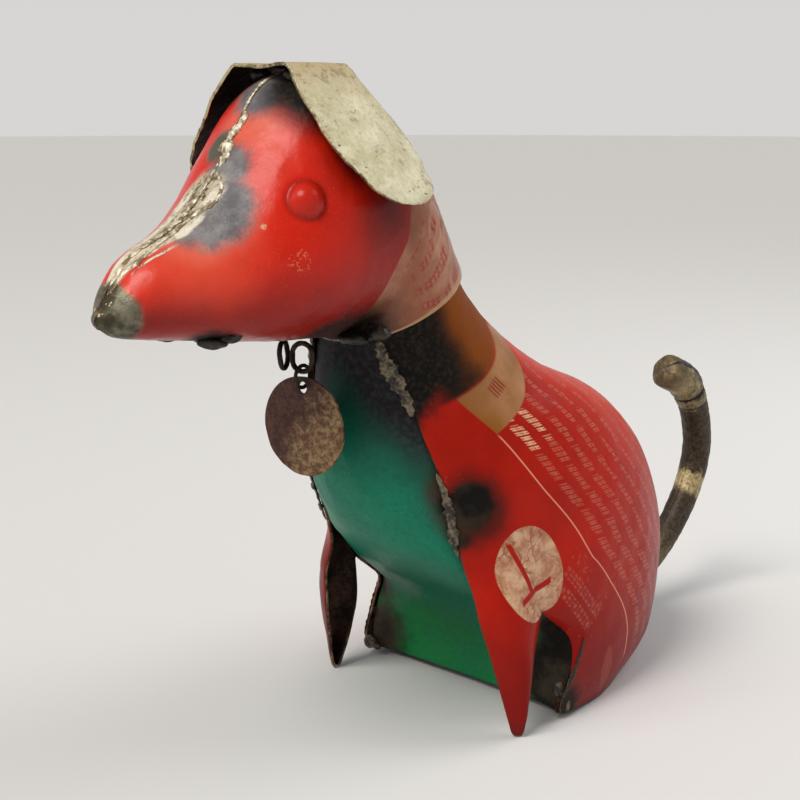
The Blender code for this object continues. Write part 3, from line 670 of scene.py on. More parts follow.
side_points, side_grids, side_place, side_angle = side_sheet()
side_normal = np.zeros_like(side_points)
for grid in side_grids:
    side_normal[grid] = -facing(side_points[grid])
swell = ripple(side_points, 0.035, 8) * 0.25 + ripple(side_points, 0.010, 9) * 0.07
side_points = side_points - side_normal * ((np.abs(swell) + 0.1) * MM)[:, None]
side_points = flare(side_points)
side_widest = cad_high.x - SIDE_INSIDE_BOX
side_points[:, 0] = np.clip(side_points[:, 0], SIDE_FROM_MIDDLE, side_widest)
side_faces = np.vstack([quads(grid) for grid in side_grids])
side_maps = {
    "sheet": np.stack([side_place / 10, side_angle / 180], -1),
    "print": print_places(side_place, side_angle),
}
for side, sign in (("left", 1.0), ("right", -1.0)):
    new_sheet(
        f"side_sheet_{side}",
        side_points * [sign, 1, 1],
        side_faces[:, ::-1] if sign > 0 else side_faces,
        side_finish(f"side_red_{side}", sign > 0),
        f"side_{side}",
        side_maps,
    )

# The head is two dished red halves, welded along the crown and under the jaw and pushed over
# the neck. Each has an eye punched outwards, and the weld has burnt the paint off the brow.
HEAD_STATIONS = (
    (-181.0, 131.6, -181.6, 136.4, 3.2, 2.0, 2.0, 0.50),
    (-176.6, 129.2, -177.4, 143.0, 8.0, 2.0, 2.0, 0.50),
    (-167.0, 127.6, -171.0, 149.5, 13.0, 2.1, 2.0, 0.48),
    (-151.0, 125.4, -157.4, 156.5, 20.4, 2.2, 1.85, 0.45),
    (-137.5, 123.8, -146.2, 167.0, 26.0, 2.2, 1.8, 0.44),
    (-126.0, 122.6, -136.4, 181.0, 29.2, 2.2, 1.75, 0.44),
    (-116.0, 122.0, -127.0, 191.6, 30.6, 2.2, 1.8, 0.45),
    (-109.5, 121.6, -112.0, 194.3, 31.0, 2.1, 1.9, 0.47),
    (-106.0, 121.2, -92.0, 184.0, 30.4, 2.0, 2.0, 0.50),
    (-104.3, 120.6, -77.0, 165.0, 28.4, 2.0, 2.0, 0.50),
    (-103.0, 120.0, -64.0, 143.0, 26.0, 2.0, 2.0, 0.50),
)
NOSE_TIP = np.array([0.0, NOSE_Y, 0.1338])
HEAD_GRID = (210, 121)
NOSE_ROWS = 14
EYE_PLACE = 4.9
EYE_ANGLES = {"left": 59.6, "right": 68.0}
EYE_RADIUS = 0.0047
EYE_HEIGHT = 0.0028
HEAD_FROM_MIDDLE = 0.0002
HEAD_RED = srgb(212, 36, 14)
HEAD_SHADED_RED = srgb(120, 16, 14)


def neck_band(place, angle, cloud, fine):
    """The pale band of print along the head's rear edge, scorched lower down: where it lies,
    and its paint."""
    band_line = 7.64 - (angle - 97.0).most(0.0) * 0.019
    band = (place - band_line).rise(-0.03, 0.03)
    band_tone = cloud.rise(0.35, 0.65).over(srgb(150, 88, 60), srgb(184, 128, 98))
    band_tone = angle.rise(112.0, 146.0).over(band_tone, srgb(58, 26, 20))
    rows = (place - band_line) / 0.62
    row = rows.whole()
    inside_row = abs(rows - row - 0.55)
    letter = angle / 4.6 + row * 0.5
    cell = letter.whole()
    chance = cell.dice(row)
    stroke = abs(letter - cell - 0.5).rise(0.3, 0.2) * inside_row.rise(0.26, 0.2)
    tie = abs(inside_row - chance * 0.2).rise(0.07, 0.03) * chance.rise(0.4, 0.5)
    ink = stroke.most(tie) * rows.rise(0.6, 0.7) * angle.rise(116.0, 108.0) * chance.rise(0.12, 0.2)
    band_tone = (ink * 0.75 * fine.rise(0.3, 0.5)).over(band_tone, srgb(156, 44, 26))
    return band, band_tone


def muzzle_coats(at, place, angle, drift, fine):
    """What the torch left along the muzzle: bare metal on top, chalky paint on the snout, a
    melted cream strip that runs down it, and the seam. Each is where it lies and its paint."""
    swirl = at.noise(4.2, 6.0, 0.75, (1.0, 0.7, 0.7))
    top = (angle + drift * 3.0).rise(17.0, 11.0) * place.rise(1.7, 2.4) * place.rise(4.25, 4.0)
    metal = swirl.rise(0.40, 0.52).over(srgb(104, 92, 70), srgb(196, 184, 158))
    metal = swirl.rise(0.56, 0.60).over(metal, srgb(74, 62, 44))
    snout = (angle + drift * 6.0).rise(22.0, 12.0) * place.rise(0.7, 1.0) * place.rise(2.7, 2.2)
    chalk = swirl.rise(0.35, 0.6).over(srgb(184, 156, 120), srgb(236, 220, 188))
    centre_line = 16.0 - abs(place - 2.9) * 2.2 + drift * 3.5
    strip = abs(angle - centre_line).rise(7.0, 3.5) * place.rise(0.7, 1.2) * place.rise(4.1, 3.7)
    strip = strip * (0.25 + swirl.rise(0.38, 0.50) * 0.75)
    flow = abs(angle - 27.0 - drift * 2.5).rise(2.6, 1.0)
    flow = flow * place.rise(1.4, 1.7) * place.rise(2.7, 2.3)
    strip = strip.most(flow * swirl.rise(0.42, 0.5))
    seam = angle.rise(5.0, 2.5) * place.rise(2.2, 3.0) * fine.rise(0.4, 0.55)
    cream = swirl.rise(0.3, 0.6).over(srgb(204, 190, 162), srgb(240, 232, 212))
    return (top, metal), (snout, chalk), (strip, cream), (seam * 0.35, srgb(96, 80, 56))


def head_finish(name, eye):
    """Bright red paint, burnt grey and cream along the crown, with a bare nose, a pale band of
    print at the neck and scorched spots along the jaw. Painted light and shade lie on it too: a
    painted highlight on the forehead, and painted shade towards the bottom and the back, round
    the eye and in the ear's shadow."""
    material, at = start_finish(name, Specular_IOR_Level=0.25)
    sheet_map = at.node("UVMap", {"uv_map": "sheet"}, {})
    place, angle = sheet_map.part(0) * 10.0, sheet_map.part(1) * 180.0
    cloud = at.noise(15.0, 5.0, 0.6)
    fine = at.noise(1.5, 4.0, 0.65)
    speck = at.noise(0.5, 2.0, 0.6)
    drift = (at.noise(5.0, 4.0, 0.6) - 0.5) * 2.0

    # Painted shade: the red deepens towards the bottom of the head, and towards its back.
    low = (angle + cloud * 36.0 - place * 3.0).rise(74.0, 134.0)
    # Pale pink on the forehead and the brow: partly faded paint, partly a painted highlight where
    # the light falls.
    faded_and_highlight = at.spot((8, -158, 148), 15.0, 11.0, 6.0) * 0.7
    faded_and_highlight = faded_and_highlight.most(at.spot((12, -139, 177), 6.0, 8.0, 5.0) * 0.4)
    behind = (place + cloud).rise(5.7, 8.2) * 0.6
    dusty = speck.rise(0.66, 0.72) * cloud.rise(0.4, 0.6)
    colour = layers(
        (faded_and_highlight * 0.8).over(HEAD_RED, srgb(232, 98, 72)),
        (cloud.rise(0.4, 0.75) * 0.3, srgb(188, 26, 14)),
        (low * 0.8, HEAD_SHADED_RED),
        (behind, srgb(128, 18, 14)),
        (dusty * 0.35, srgb(240, 140, 110)),
        neck_band(place, angle, cloud, fine),
    )

    brow = at.spots(((6, -151, 159), 12.5, 3.0, 5.0), ((4, -142, 169), 7.0, 2.4, 4.0))
    crown = at.spot((2, -130, 190), 8.5, 3.0, 5.0)
    olive = at.spot((-3, -140, 175), 4.5, 1.6, 3.0)
    burn = brow.most(crown).most(olive)
    blue_grey = at.noise(9.0, 4.0, 0.6).rise(0.35, 0.65).over(srgb(94, 92, 96), srgb(136, 132, 132))
    ring = at.spots(((5, -153, 158), 14.5, 4.0, 6.0), ((3, -137, 183), 9.0, 5.0, 5.0))
    colour = layers(
        colour,
        (ring * 0.5, srgb(226, 128, 104)),
        (burn, blue_grey),
        (olive * 0.8, srgb(84, 86, 62)),
        (crown * angle.rise(14.0, 45.0) * 0.7, srgb(34, 26, 26)),
    )
    muzzle = muzzle_coats(at, place, angle, drift, fine)
    top, strip = muzzle[0][0], muzzle[2][0]
    nose = (place + drift * 0.10 - angle.rise(40.0, 90.0) * 0.2).rise(1.25, 0.95)
    nose_tone = at.noise(6.0, 4.0, 0.6).rise(0.38, 0.62).over(srgb(66, 60, 44), srgb(124, 120, 102))
    flakes = (at.noise(1.8, 2.0) * place.rise(2.2, 0.8) * angle.rise(80.0, 30.0)).rise(0.60, 0.64)
    # Painted shade: a dark ring round the eye's dome, and a darker tint on the dome itself.
    shaded_eye_dome, eye_shade_ring = at.spot(eye, 4.4, 0.8), at.spot(eye, 5.6, 1.2)
    colour = layers(
        colour,
        *muzzle,
        (nose * (1.0 - strip * 0.6), nose_tone),
        (flakes * 0.8, srgb(226, 206, 168)),
        (eye_shade_ring * (1.0 - shaded_eye_dome) * 0.55, srgb(96, 10, 6)),
        (shaded_eye_dome * 0.4, srgb(172, 34, 20)),
    )

    jaw = at.spots(((9, -154, 127), 6.5, 2.4, 4.0), ((-9, -154, 127), 6.5, 2.4, 4.0))
    throat = at.spots(((16, -116, 123), 12.0, 4.0, 8.0), ((-16, -116, 123), 12.0, 4.0, 8.0))
    # Painted shade: under the ear strip and along the near ear the head is painted dark as the
    # ear's shadow. The spots at the jaw and the throat are torch scorching.
    under_ear_shade = at.spots(((14, -122, 192), 13.0, 5.0, 3.0), ((-13, -122, 193), 11.0, 5.0))
    ear_shadow = at.spots(((22, -124, 184), 7.0, 6.0, 2.0), ((28, -118, 174), 8.0, 9.0, 2.0))
    ear_shadow = ear_shadow.most(at.spot((31, -110, 159), 9.0, 9.0, 2.0) * 0.8)
    scorch_and_shade = jaw.most(throat * 0.92).most(under_ear_shade)
    scratch = (at.noise(0.7, 2.0) * at.spot((27, -139, 147), 5.0, 3.0)).rise(0.52, 0.6) * 0.5
    chip = at.spot((20, -145, 156), 0.7, 0.3, 1.6) * speck.rise(0.35, 0.5)
    colour = layers(
        colour,
        (ear_shadow * 0.9, srgb(44, 6, 5)),
        (scorch_and_shade, fine.rise(0.45, 0.65).over(srgb(16, 12, 10), srgb(48, 36, 28))),
        (place.rise(9.86, 9.92) * 0.7, srgb(196, 158, 116)),
        (scratch, srgb(232, 130, 100)),
        (chip, srgb(214, 170, 130)),
    )
    bare = burn.most(nose).most(strip).most(top)
    rough = 0.3 + burn * 0.2 + nose * 0.12 + scorch_and_shade * 0.3 + (fine - 0.5) * 0.14
    relief = cloud + fine * 0.3 + strip * speck * 2.0 + bare * fine * 1.2 + scorch_and_shade * fine
    return end_finish(material, colour, rough, nose * 0.5 + burn * 0.2, relief, 0.0002)


head_places = np.linspace(0, len(HEAD_STATIONS) - 1, HEAD_GRID[0])
head_angles = np.linspace(0, 180, HEAD_GRID[1])
head_rows, head_columns = np.meshgrid(head_places, head_angles, indexing="ij")


def head_half(eye_angle):
    """The left half's points: the skin pushed out by the eye, a dome with the height of a
    parabola to the power 0.8, in by dents, and closed at the nose by shrinking rings."""
    points = skin(HEAD_STATIONS, head_rows, head_columns)
    centre = skin(HEAD_STATIONS, np.array([EYE_PLACE]), np.array([eye_angle]))[0]
    gap = np.linalg.norm(points - centre, axis=-1) / EYE_RADIUS
    eye = EYE_HEIGHT * np.clip(1 - gap**2, 0, 1) ** 0.8
    eye -= 0.0003 * np.exp(-((gap - 1.12) ** 2) / 0.02)
    crease = np.exp(-(((head_rows - 8.6) / 0.7) ** 2) - ((head_columns - 62) / 26) ** 2)
    dents = np.abs(ripple(points, 0.030, 5)) * 0.3 + np.abs(ripple(points, 0.008, 6)) * 0.07
    dents += crease * np.abs(ripple(points, 0.007, 7)) * 0.7
    burr = 0.00025 * np.clip((head_rows - 9.75) / 0.25, 0, 1) ** 2
    points = points - facing(points) * (eye - dents * MM + burr)[..., None]
    share = np.linspace(0, 1, NOSE_ROWS + 1)[:-1, None, None]
    nose = NOSE_TIP + (points[0] - NOSE_TIP) * np.array([1, 0, 1]) * np.sqrt(1 - (1 - share) ** 2)
    nose[..., 1] += (points[0, :, 1] - NOSE_Y) * share[..., 0]
    points = np.concatenate([nose, points])
    points[..., 0] = np.maximum(points[..., 0], HEAD_FROM_MIDDLE)
    return points


head_uv = np.stack([head_rows / 10, head_columns / 180], -1)
head_uv = np.concatenate([np.repeat(head_uv[:1] * [0, 1], NOSE_ROWS, 0), head_uv])
head_index = np.arange(head_uv[..., 0].size).reshape(head_uv.shape[:2])
head_faces = quads(head_index)
for side, sign in (("left", 1.0), ("right", -1.0)):
    eye = skin(HEAD_STATIONS, np.array([EYE_PLACE]), np.array([EYE_ANGLES[side]]))[0] / MM
    eye = tuple(float(v) for v in eye * [sign, 1, 1])
    new_sheet(
        f"head_half_{side}",
        head_half(EYE_ANGLES[side]) * [sign, 1, 1],
        head_faces if sign < 0 else head_faces[:, ::-1],
        head_finish(f"head_red_{side}", eye),
        f"head_{side}",
        {"sheet": head_uv},
    )

# The seat is the plain sheet that closes the body from below, scaled and stained by the
# torch. It is bent up a little towards the chest, whose lower edge hides its front.
SEAT_INSET = 3.9
SEAT_RINGS = 24


def seat_points():
    """The seat's underside: the body's lowest section drawn in by the inset and shrunk in
    rings to its middle, lifted in front as the body is."""
    angle = np.linspace(0, 180, 91)
    half = skin(BODY_STATIONS, np.full(91, 10.0), angle)
    rim = np.vstack([half, (half * [-1, 1, 1])[-2:0:-1]])
    middle = rim.mean(0)
    reach = rim - middle
    reach *= 1 - SEAT_INSET * MM / np.linalg.norm(reach, axis=1, keepdims=True)
    points = middle + reach[None] * np.linspace(1, 0.02, SEAT_RINGS)[:, None, None]
    forward = np.clip((SEAT_LIFT_FROM - points[..., 1] / MM) / 26, 0, 1)
    points[..., 2] = (SEAT_LIFT + 0.4) * MM * forward
    return np.concatenate([points, points[:, :1]], 1)


seat = seat_points()
seat_index = np.arange(seat[..., 0].size).reshape(seat.shape[:2])
seat_steel = bare_finish("seat_steel", srgb(44, 33, 26), srgb(104, 88, 70), 4.0)
new_sheet("seat_sheet", seat, quads(seat_index)[:, ::-1], seat_steel, "seat")

# Both ears are one cream strip laid over the crown, folded down at each side and rounded at
# its ends. Its back is bare, and the paint has chipped along the edges and yellowed at the folds.
EAR_STATIONS = (
    (0.00, 196.1, 0.0, -117.5, 10.3),
    (0.14, 196.6, 8.0, -117.6, 10.4),
    (0.22, 195.8, 11.6, -117.6, 10.9),
    (0.36, 189.0, 17.6, -117.2, 12.4),
    (0.60, 177.4, 27.4, -114.6, 13.8),
    (0.80, 168.2, 35.0, -112.9, 11.5),
    (1.00, 160.8, 40.6, -110.8, 1.6),
)
EAR_ROUND_FROM = 0.78
EAR_BULGE = 0.9
EAR_INSIDE_BOX = 0.00002
EAR_GRID = (241, 61)


def ear_finish():
    """Chalky cream paint with scratches, rust bleeding at the fold and bright chipped edges."""
    material, at = start_finish("ear_cream")
    sheet_map = at.node("UVMap", {"uv_map": "sheet"}, {})
    reach, share = sheet_map.part(0), abs(sheet_map.part(1) - 0.5) * 2.0
    cloud = at.noise(9.0, 5.0, 0.65)
    fine = at.noise(1.3, 4.0, 0.7)
    speck = at.noise(0.45, 2.0, 0.6)
    fold = reach.rise(0.5, 0.2) * cloud.rise(0.3, 0.6)
    stain = (at.noise(3.2, 4.0, 0.7) + reach.rise(0.5, 0.25) * 0.06).rise(0.57, 0.66)
    scratch = at.noise(2.0, 3.0, 0.6, (0.45, 1.0, 1.6)).rise(0.66, 0.69)
    scratch = scratch * at.noise(12.0).rise(0.5, 0.6)
    worn = (share + (fine - 0.5) * 0.10).rise(0.94, 0.985)
    worn = worn.most((reach + (fine - 0.5) * 0.02).rise(0.985, 0.995))
    chipped = fine.rise(0.4, 0.6).over(srgb(128, 106, 68), srgb(236, 228, 198))
    dust = share.rise(0.6, 0.95) * cloud.rise(0.5, 0.3)
    colour = layers(
        cloud.rise(0.3, 0.7).over(srgb(190, 182, 142), srgb(226, 220, 188)),
        (fine.rise(0.42, 0.7) * 0.3, srgb(140, 130, 94)),
        (fold * 0.65, srgb(166, 132, 74)),
        (stain * 0.55, srgb(128, 102, 54)),
        (scratch * 0.85, srgb(70, 58, 40)),
        (worn * 0.7, chipped),
        (dust * 0.4, srgb(128, 104, 62)),
    )
    relief = cloud * 1.5 + fine * 0.5 + worn * speck - scratch * 0.6
    rough = 0.52 + worn * 0.1 + (fine - 0.5) * 0.1
    return end_finish(material, colour, rough, None, relief, 0.0003)


ear_reach = np.linspace(-1, 1, EAR_GRID[0])
ear_share = np.linspace(-1, 1, EAR_GRID[1])[None, :]
ear_table = np.array(EAR_STATIONS)
bent = np.abs(ear_reach) ** 0.85
ear_rows = curve(ear_table, np.interp(bent, ear_table[:, 0], np.arange(len(ear_table))))
rounding = np.clip((bent - EAR_ROUND_FROM) / (1 - EAR_ROUND_FROM), 0, 1)
widest = np.interp(EAR_ROUND_FROM, ear_table[:, 0], ear_table[:, 4])
half_width = np.where(rounding > 0, widest * np.sqrt(1 - rounding**2 * 0.985), ear_rows[:, 4])
ears = np.stack(
    [
        (np.sign(ear_reach) * ear_rows[:, 2])[:, None] + 0 * ear_share,
        ear_rows[:, 3][:, None] + half_width[:, None] * ear_share,
        ear_rows[:, 1][:, None] + 0 * ear_share,
    ],
    -1,
) * MM
ear_out = facing(ears)
hang = np.clip((bent - 0.16) / 0.2, 0, 1)[:, None]
bulge = EAR_BULGE * hang * (1 - np.abs(ear_share) ** 2.2) * (half_width / widest)[:, None]
beaten = np.abs(ripple(ears, 0.018, 11)) * 0.35 + np.abs(ripple(ears, 0.005, 12)) * 0.10
ears += ear_out * ((bulge - beaten) * MM)[..., None]
ears[..., 2] = np.minimum(ears[..., 2], cad_high.z - EAR_INSIDE_BOX)
ears[..., 1] += ripple(ears, 0.004, 13) * np.abs(ear_share) ** 8 * 0.12 * MM
ear_uv = np.stack([bent[:, None] + 0 * ear_share, (ear_share + 1) / 2 + 0 * bent[:, None]], -1)
ear_index = np.arange(ear_uv[..., 0].size).reshape(EAR_GRID)
ear_back = bare_finish("ear_back", srgb(26, 10, 11), srgb(58, 26, 24), 4.0)
ear_edge = bare_finish("ear_edge", srgb(96, 80, 52), srgb(206, 192, 150), 3.5)
new_sheet(
    "ear_strip",
    ears,
    quads(ear_index),
    ear_finish(),
    "ears",
    {"sheet": ear_uv},
    ear_back,
    ear_edge,
)

# The tail is a strip rolled into a bent tube, creased below its pinched and rounded end. The
# torch has blackened it in bands, and its rolled edge shows as a slit along the outer side.
TAIL_STATIONS = (
    (37.6, 13.0, 4.6),
    (52.0, 15.4, 5.0),
    (69.0, 26.5, 5.2),
    (82.0, 42.0, 5.4),
    (87.0, 57.0, 5.6),
    (84.0, 72.0, 5.8),
    (76.5, 83.0, 6.8),
    (66.5, 88.0, 7.0),
)
TAIL_CREASE = 5.6
TAIL_LOWER_CREASE = 5.2
TAIL_SLIT = 0.36
TAIL_GRID = (190, 64)
TAIL_END_ROWS = 16


def tail_finish():
    """Scorched steel: dark bands, a pale band half way up and a pale dusty end, with painted shade
    in the creases and the slit.
    """
    material, at = start_finish("tail_steel")
    sheet_map = at.node("UVMap", {"uv_map": "sheet"}, {})
    place, turn = sheet_map.part(0) * 10.0, sheet_map.part(1)
    cloud = at.noise(6.0, 5.0, 0.65)
    fine = at.noise(1.2, 4.0, 0.65)
    wave = (cloud - 0.5) * 1.1
    dark = fine.rise(0.35, 0.65).over(srgb(34, 24, 14), srgb(72, 56, 36))
    pale = fine.rise(0.35, 0.65).over(srgb(134, 112, 72), srgb(188, 172, 128))
    knob = (place + wave * 0.3).rise(5.55, 5.72)
    band = (place + wave * 0.4).rise(2.75, 2.95) * (place + wave).rise(3.45, 3.25)
    root = (place + wave).rise(2.2, 1.4) * 0.3
    middle = ((place + wave).rise(5.05, 5.25) * (place + wave).rise(5.6, 5.5)) * 0.5
    rubbed = at.spot((3, 69, 82), 5.5, 4.0, 3.0).most(cloud.rise(0.46, 0.6) * 0.7)
    worn_end = knob * (rubbed * 0.8 + 0.2)
    colour = worn_end.most(band).most(root).most(middle).over(dark, pale)
    soot = (place + wave * 0.7).rise(6.35, 6.9) * 0.6
    colour = (soot * fine.rise(0.4, 0.55)).over(colour, srgb(58, 40, 18))
    # The creases and the slit are painted near black as painted shade in the grooves and inside the
    # rolled edge.
    lower = abs(place - TAIL_LOWER_CREASE).rise(0.05, 0.02) * 0.7
    crease = abs(place - TAIL_CREASE).rise(0.06, 0.02).most(lower)
    slit = abs(turn - TAIL_SLIT).rise(0.02, 0.012)
    colour = crease.most(slit).over(colour, srgb(10, 7, 5))
    relief = cloud + fine * 0.7
    rough = 0.5 + (fine - 0.5) * 0.3
    return end_finish(material, colour, rough, cloud.rise(0.3, 0.6) * 0.4, relief, 0.0003)


def tube_frame(middle):
    """Unit normals of a plane curve in y and z: its direction turned a quarter."""
    forward = np.gradient(middle, axis=0)
    forward /= np.linalg.norm(forward, axis=1, keepdims=True)
    return forward, np.stack([-forward[:, 1], forward[:, 0]], -1)


tail_places = np.linspace(0, len(TAIL_STATIONS) - 1, TAIL_GRID[0])
tail_rows = curve(TAIL_STATIONS, tail_places)
tail_rows[:, 0] = np.maximum(tail_rows[:, 0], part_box("tail")[0].y / MM - SLIDE[1] / MM)
forward, normal = tube_frame(tail_rows[:, :2])
dome = np.sin(np.linspace(0, np.pi / 2, TAIL_END_ROWS + 1)[1:])
end_middle = tail_rows[-1, :2] + forward[-1] * tail_rows[-1, 2] * 0.55 * dome[:, None]
end_radius = tail_rows[-1, 2] * np.sqrt(np.maximum(1 - dome**2, 0.0004))
tail_middle = np.vstack([tail_rows[:, :2], end_middle])
tail_radius = np.concatenate([tail_rows[:, 2], end_radius])
tail_normal = np.vstack([normal, np.repeat(normal[-1:], TAIL_END_ROWS, 0)])
tail_place = np.concatenate([tail_places, 7 + dome * 0.5])
turns = np.linspace(0, 2 * np.pi, TAIL_GRID[1] + 1)
groove = 0.55 * np.exp(-(((tail_place - TAIL_CREASE) / 0.05) ** 2))
groove += 0.3 * np.exp(-(((tail_place - TAIL_LOWER_CREASE) / 0.06) ** 2))
knob_part = np.clip((tail_place - 5.4) / 0.8, 0, 1)[:, None]
flat_spot = 0.35 * np.cos(turns * 3 + 0.6) * knob_part
slit = 0.7 * np.exp(-(((turns / (2 * np.pi) - TAIL_SLIT) / 0.012) ** 2))
slit = slit * (tail_place < TAIL_CREASE)[:, None]
reach = np.maximum((tail_radius - groove)[:, None] - slit - np.abs(flat_spot) - 0.2, 0.02)
tail = np.stack(
    [
        reach * np.sin(turns),
        tail_middle[:, :1] + reach * np.cos(turns) * tail_normal[:, :1],
        tail_middle[:, 1:] + reach * np.cos(turns) * tail_normal[:, 1:],
    ],
    -1,
) * MM
tail += (tail - tail.mean(1, keepdims=True)) * (-0.03 * np.abs(ripple(tail, 0.006, 14)))[..., None]
tail_uv = np.stack(np.meshgrid(tail_place / 10, turns / (2 * np.pi), indexing="ij"), -1)
tail_index = np.arange(tail_uv[..., 0].size).reshape(tail_uv.shape[:2])
tail_faces = quads(tail_index)[:, ::-1]
new_sheet("tail_roll", tail, tail_faces, tail_finish(), "tail", {"sheet": tail_uv})

# The tag is a round blank hung from the jaw by a ring and a bent wire link, with a second,
# empty link beside it. It is rusted red on one side and rubbed to a mottled buff on the other.
TAG_MIDDLE = (0.0, -114.5, 96.8)
TAG_TURN = 8.0
TAG_RADIUS = 14.3
TAG_HOLE_RADIUS = 1.7
TAG_HOLE_UP = 11.2
RING_MIDDLE = (0.0, -114.5, 111.1)
NEAR_LINK_MIDDLE = (0.0, -114.5, 116.5)
FAR_LINK_MIDDLE = (-8.4, -114.0, 116.2)


def tag_finish():
    """Rust on one half and rubbed buff metal on the other, pitted all over."""
    material, at = start_finish("tag_rust")
    cloud = at.noise(7.0, 5.0, 0.65)
    fine = at.noise(1.6, 4.0, 0.7)
    pit = at.noise(0.7, 3.0, 0.6)
    rubbed = (at.part(0) * 0.55 - (at.part(2) - 96.8) * 0.35 + (cloud - 0.5) * 22.0).rise(-2.5, 4.5)
    rust = fine.rise(0.4, 0.65).over(srgb(62, 32, 24), srgb(96, 58, 42))
    buff = fine.rise(0.4, 0.62).over(srgb(104, 72, 48), srgb(160, 132, 94))
    colour = rubbed.over(rust, buff)
    hole = at.spot((0, -114, 109), 3.2, 2.0, 2.0)
    colour = (hole * 0.8).over(colour, srgb(24, 14, 10))
    rough, metal = 0.62 - rubbed * 0.12, 0.25 + rubbed * 0.25
    return end_finish(material, colour, rough, metal, pit + cloud * 2.0, 0.0003)


def turned(points, middle, about_y=0.0, about_z=0.0):
    """Points in millimetres turned about Y, then about Z, and moved to their middle."""
    upright = Matrix.Rotation(math.radians(about_y), 3, "Y")
    turn = Matrix.Rotation(math.radians(about_z), 3, "Z") @ upright
    return (points @ np.array(turn).T + middle) * MM


tag_round = np.linspace(0, 2 * np.pi, 129)
tag_out = np.linspace(0, 1, 40)[:, None]
rim_radius = TAG_RADIUS * (1 - 0.008 * np.abs(np.sin(3 * tag_round + 1) + np.sin(5 * tag_round)))
rim_at = np.stack([np.cos(tag_round), np.sin(tag_round)], -1) * rim_radius[:, None]
hole_at = np.stack([np.cos(tag_round), np.sin(tag_round)], -1) * TAG_HOLE_RADIUS + [0, TAG_HOLE_UP]
tag_flat = hole_at[None] + (rim_at - hole_at)[None] * tag_out[..., None]
depth = 0.35 * ((tag_flat**2).sum(-1) / TAG_RADIUS**2) ** 3
tag = np.stack([tag_flat[..., 0], depth - 0.45, tag_flat[..., 1]], -1)
tag[..., 1] += np.abs(ripple(tag * MM, 0.007, 15)) * 0.14
tag_index = np.arange(tag[..., 0].size).reshape(tag.shape[:2])
tag = turned(tag, TAG_MIDDLE, 0.0, TAG_TURN)
new_sheet("tag_blank", tag, quads(tag_index), tag_finish(), "tag")


def wire_loop(name, length, width, wire, node, middle, about_y, about_z):
    """A closed loop of round wire in the XZ plane: a half circle at each end of two straight
    sides. The wire thickens and thins a little along the loop, as hand-bent wire does."""
    radius, straight = (width - wire) / 2, (length - width) / 2
    around = np.linspace(0, 2 * np.pi, 97)
    outward = np.stack([np.cos(around), 0 * around, np.sin(around)], -1)
    line = outward * radius
    line[:, 2] += straight * np.clip(np.sin(around) * 6, -1, 1)
    uneven = 0.06 * np.abs(np.sin(around * 5)) + 0.05 * np.abs(np.sin(around * 11 + 1))
    thick = wire / 2 * (1 - uneven)
    sides = np.linspace(0, 2 * np.pi, 17)
    cosine, sine = np.cos(sides)[:, None], np.sin(sides)[:, None]
    ring = outward[:, None] * cosine + np.array([0, 1, 0]) * sine
    points = line[:, None] + thick[:, None, None] * ring
    index = np.arange(97 * 17).reshape(97, 17)
    index[-1] = index[0]
    index[:, -1] = index[:, 0]
    points = turned(points.reshape(-1, 3), middle, about_y, about_z)
    new_piece(name, points, quads(index), [wire_steel], node)


wire_steel = bare_finish("wire_steel", srgb(20, 15, 12), srgb(70, 54, 40), 1.5)
wire_loop("ring_wire", 7.4, 7.4, 1.2, "tag_ring", RING_MIDDLE, 0.0, 90.0 + TAG_TURN)
wire_loop("link_wire_near", 9.6, 7.6, 1.6, "jaw_link_near", NEAR_LINK_MIDDLE, 0.0, 24.0)
wire_loop("link_wire_far", 9.6, 7.6, 1.6, "jaw_link_far", FAR_LINK_MIDDLE, 22.0, -62.0)

# Weld metal holds it all together: a run of beads over the crown, a molten streak down the
# muzzle, blobs at the jaw and the throat, and rough runs where the chest meets the sides.
STREAK_PLACES = (0.55, 0.9, 1.35, 1.85, 2.5, 2.95, 3.3, 3.6, 3.95, 4.17)
STREAK_ANGLES = (5, 15, 13, 19, 12, 10, 12, 18, 15, 3)


def weld_finish(name, dark, pale, shine):
    """Weld metal: scale in the hollows and bright on the crests."""
    material, at = start_finish(name)
    cloud = at.noise(2.8, 4.0, 0.6)
    fine = at.noise(0.9, 3.0, 0.6)
    tone = (cloud * 0.7 + fine * 0.3).rise(0.42, 0.62)
    rough = 0.5 - tone * 0.18
    return end_finish(material, tone.over(dark, pale), rough, tone * shine, fine + cloud, 0.0003)


def lie_on(surface, places, angles):
    """Points of a skin and its unit normals there, from steps of a hundredth of a station and
    half a degree."""
    down = surface(places + 0.01, angles) - surface(places - 0.01, angles)
    round_it = surface(places, angles + 0.5) - surface(places, angles - 0.5)
    normal = np.cross(round_it, down)
    return surface(places, angles), normal / np.linalg.norm(normal, axis=-1, keepdims=True)


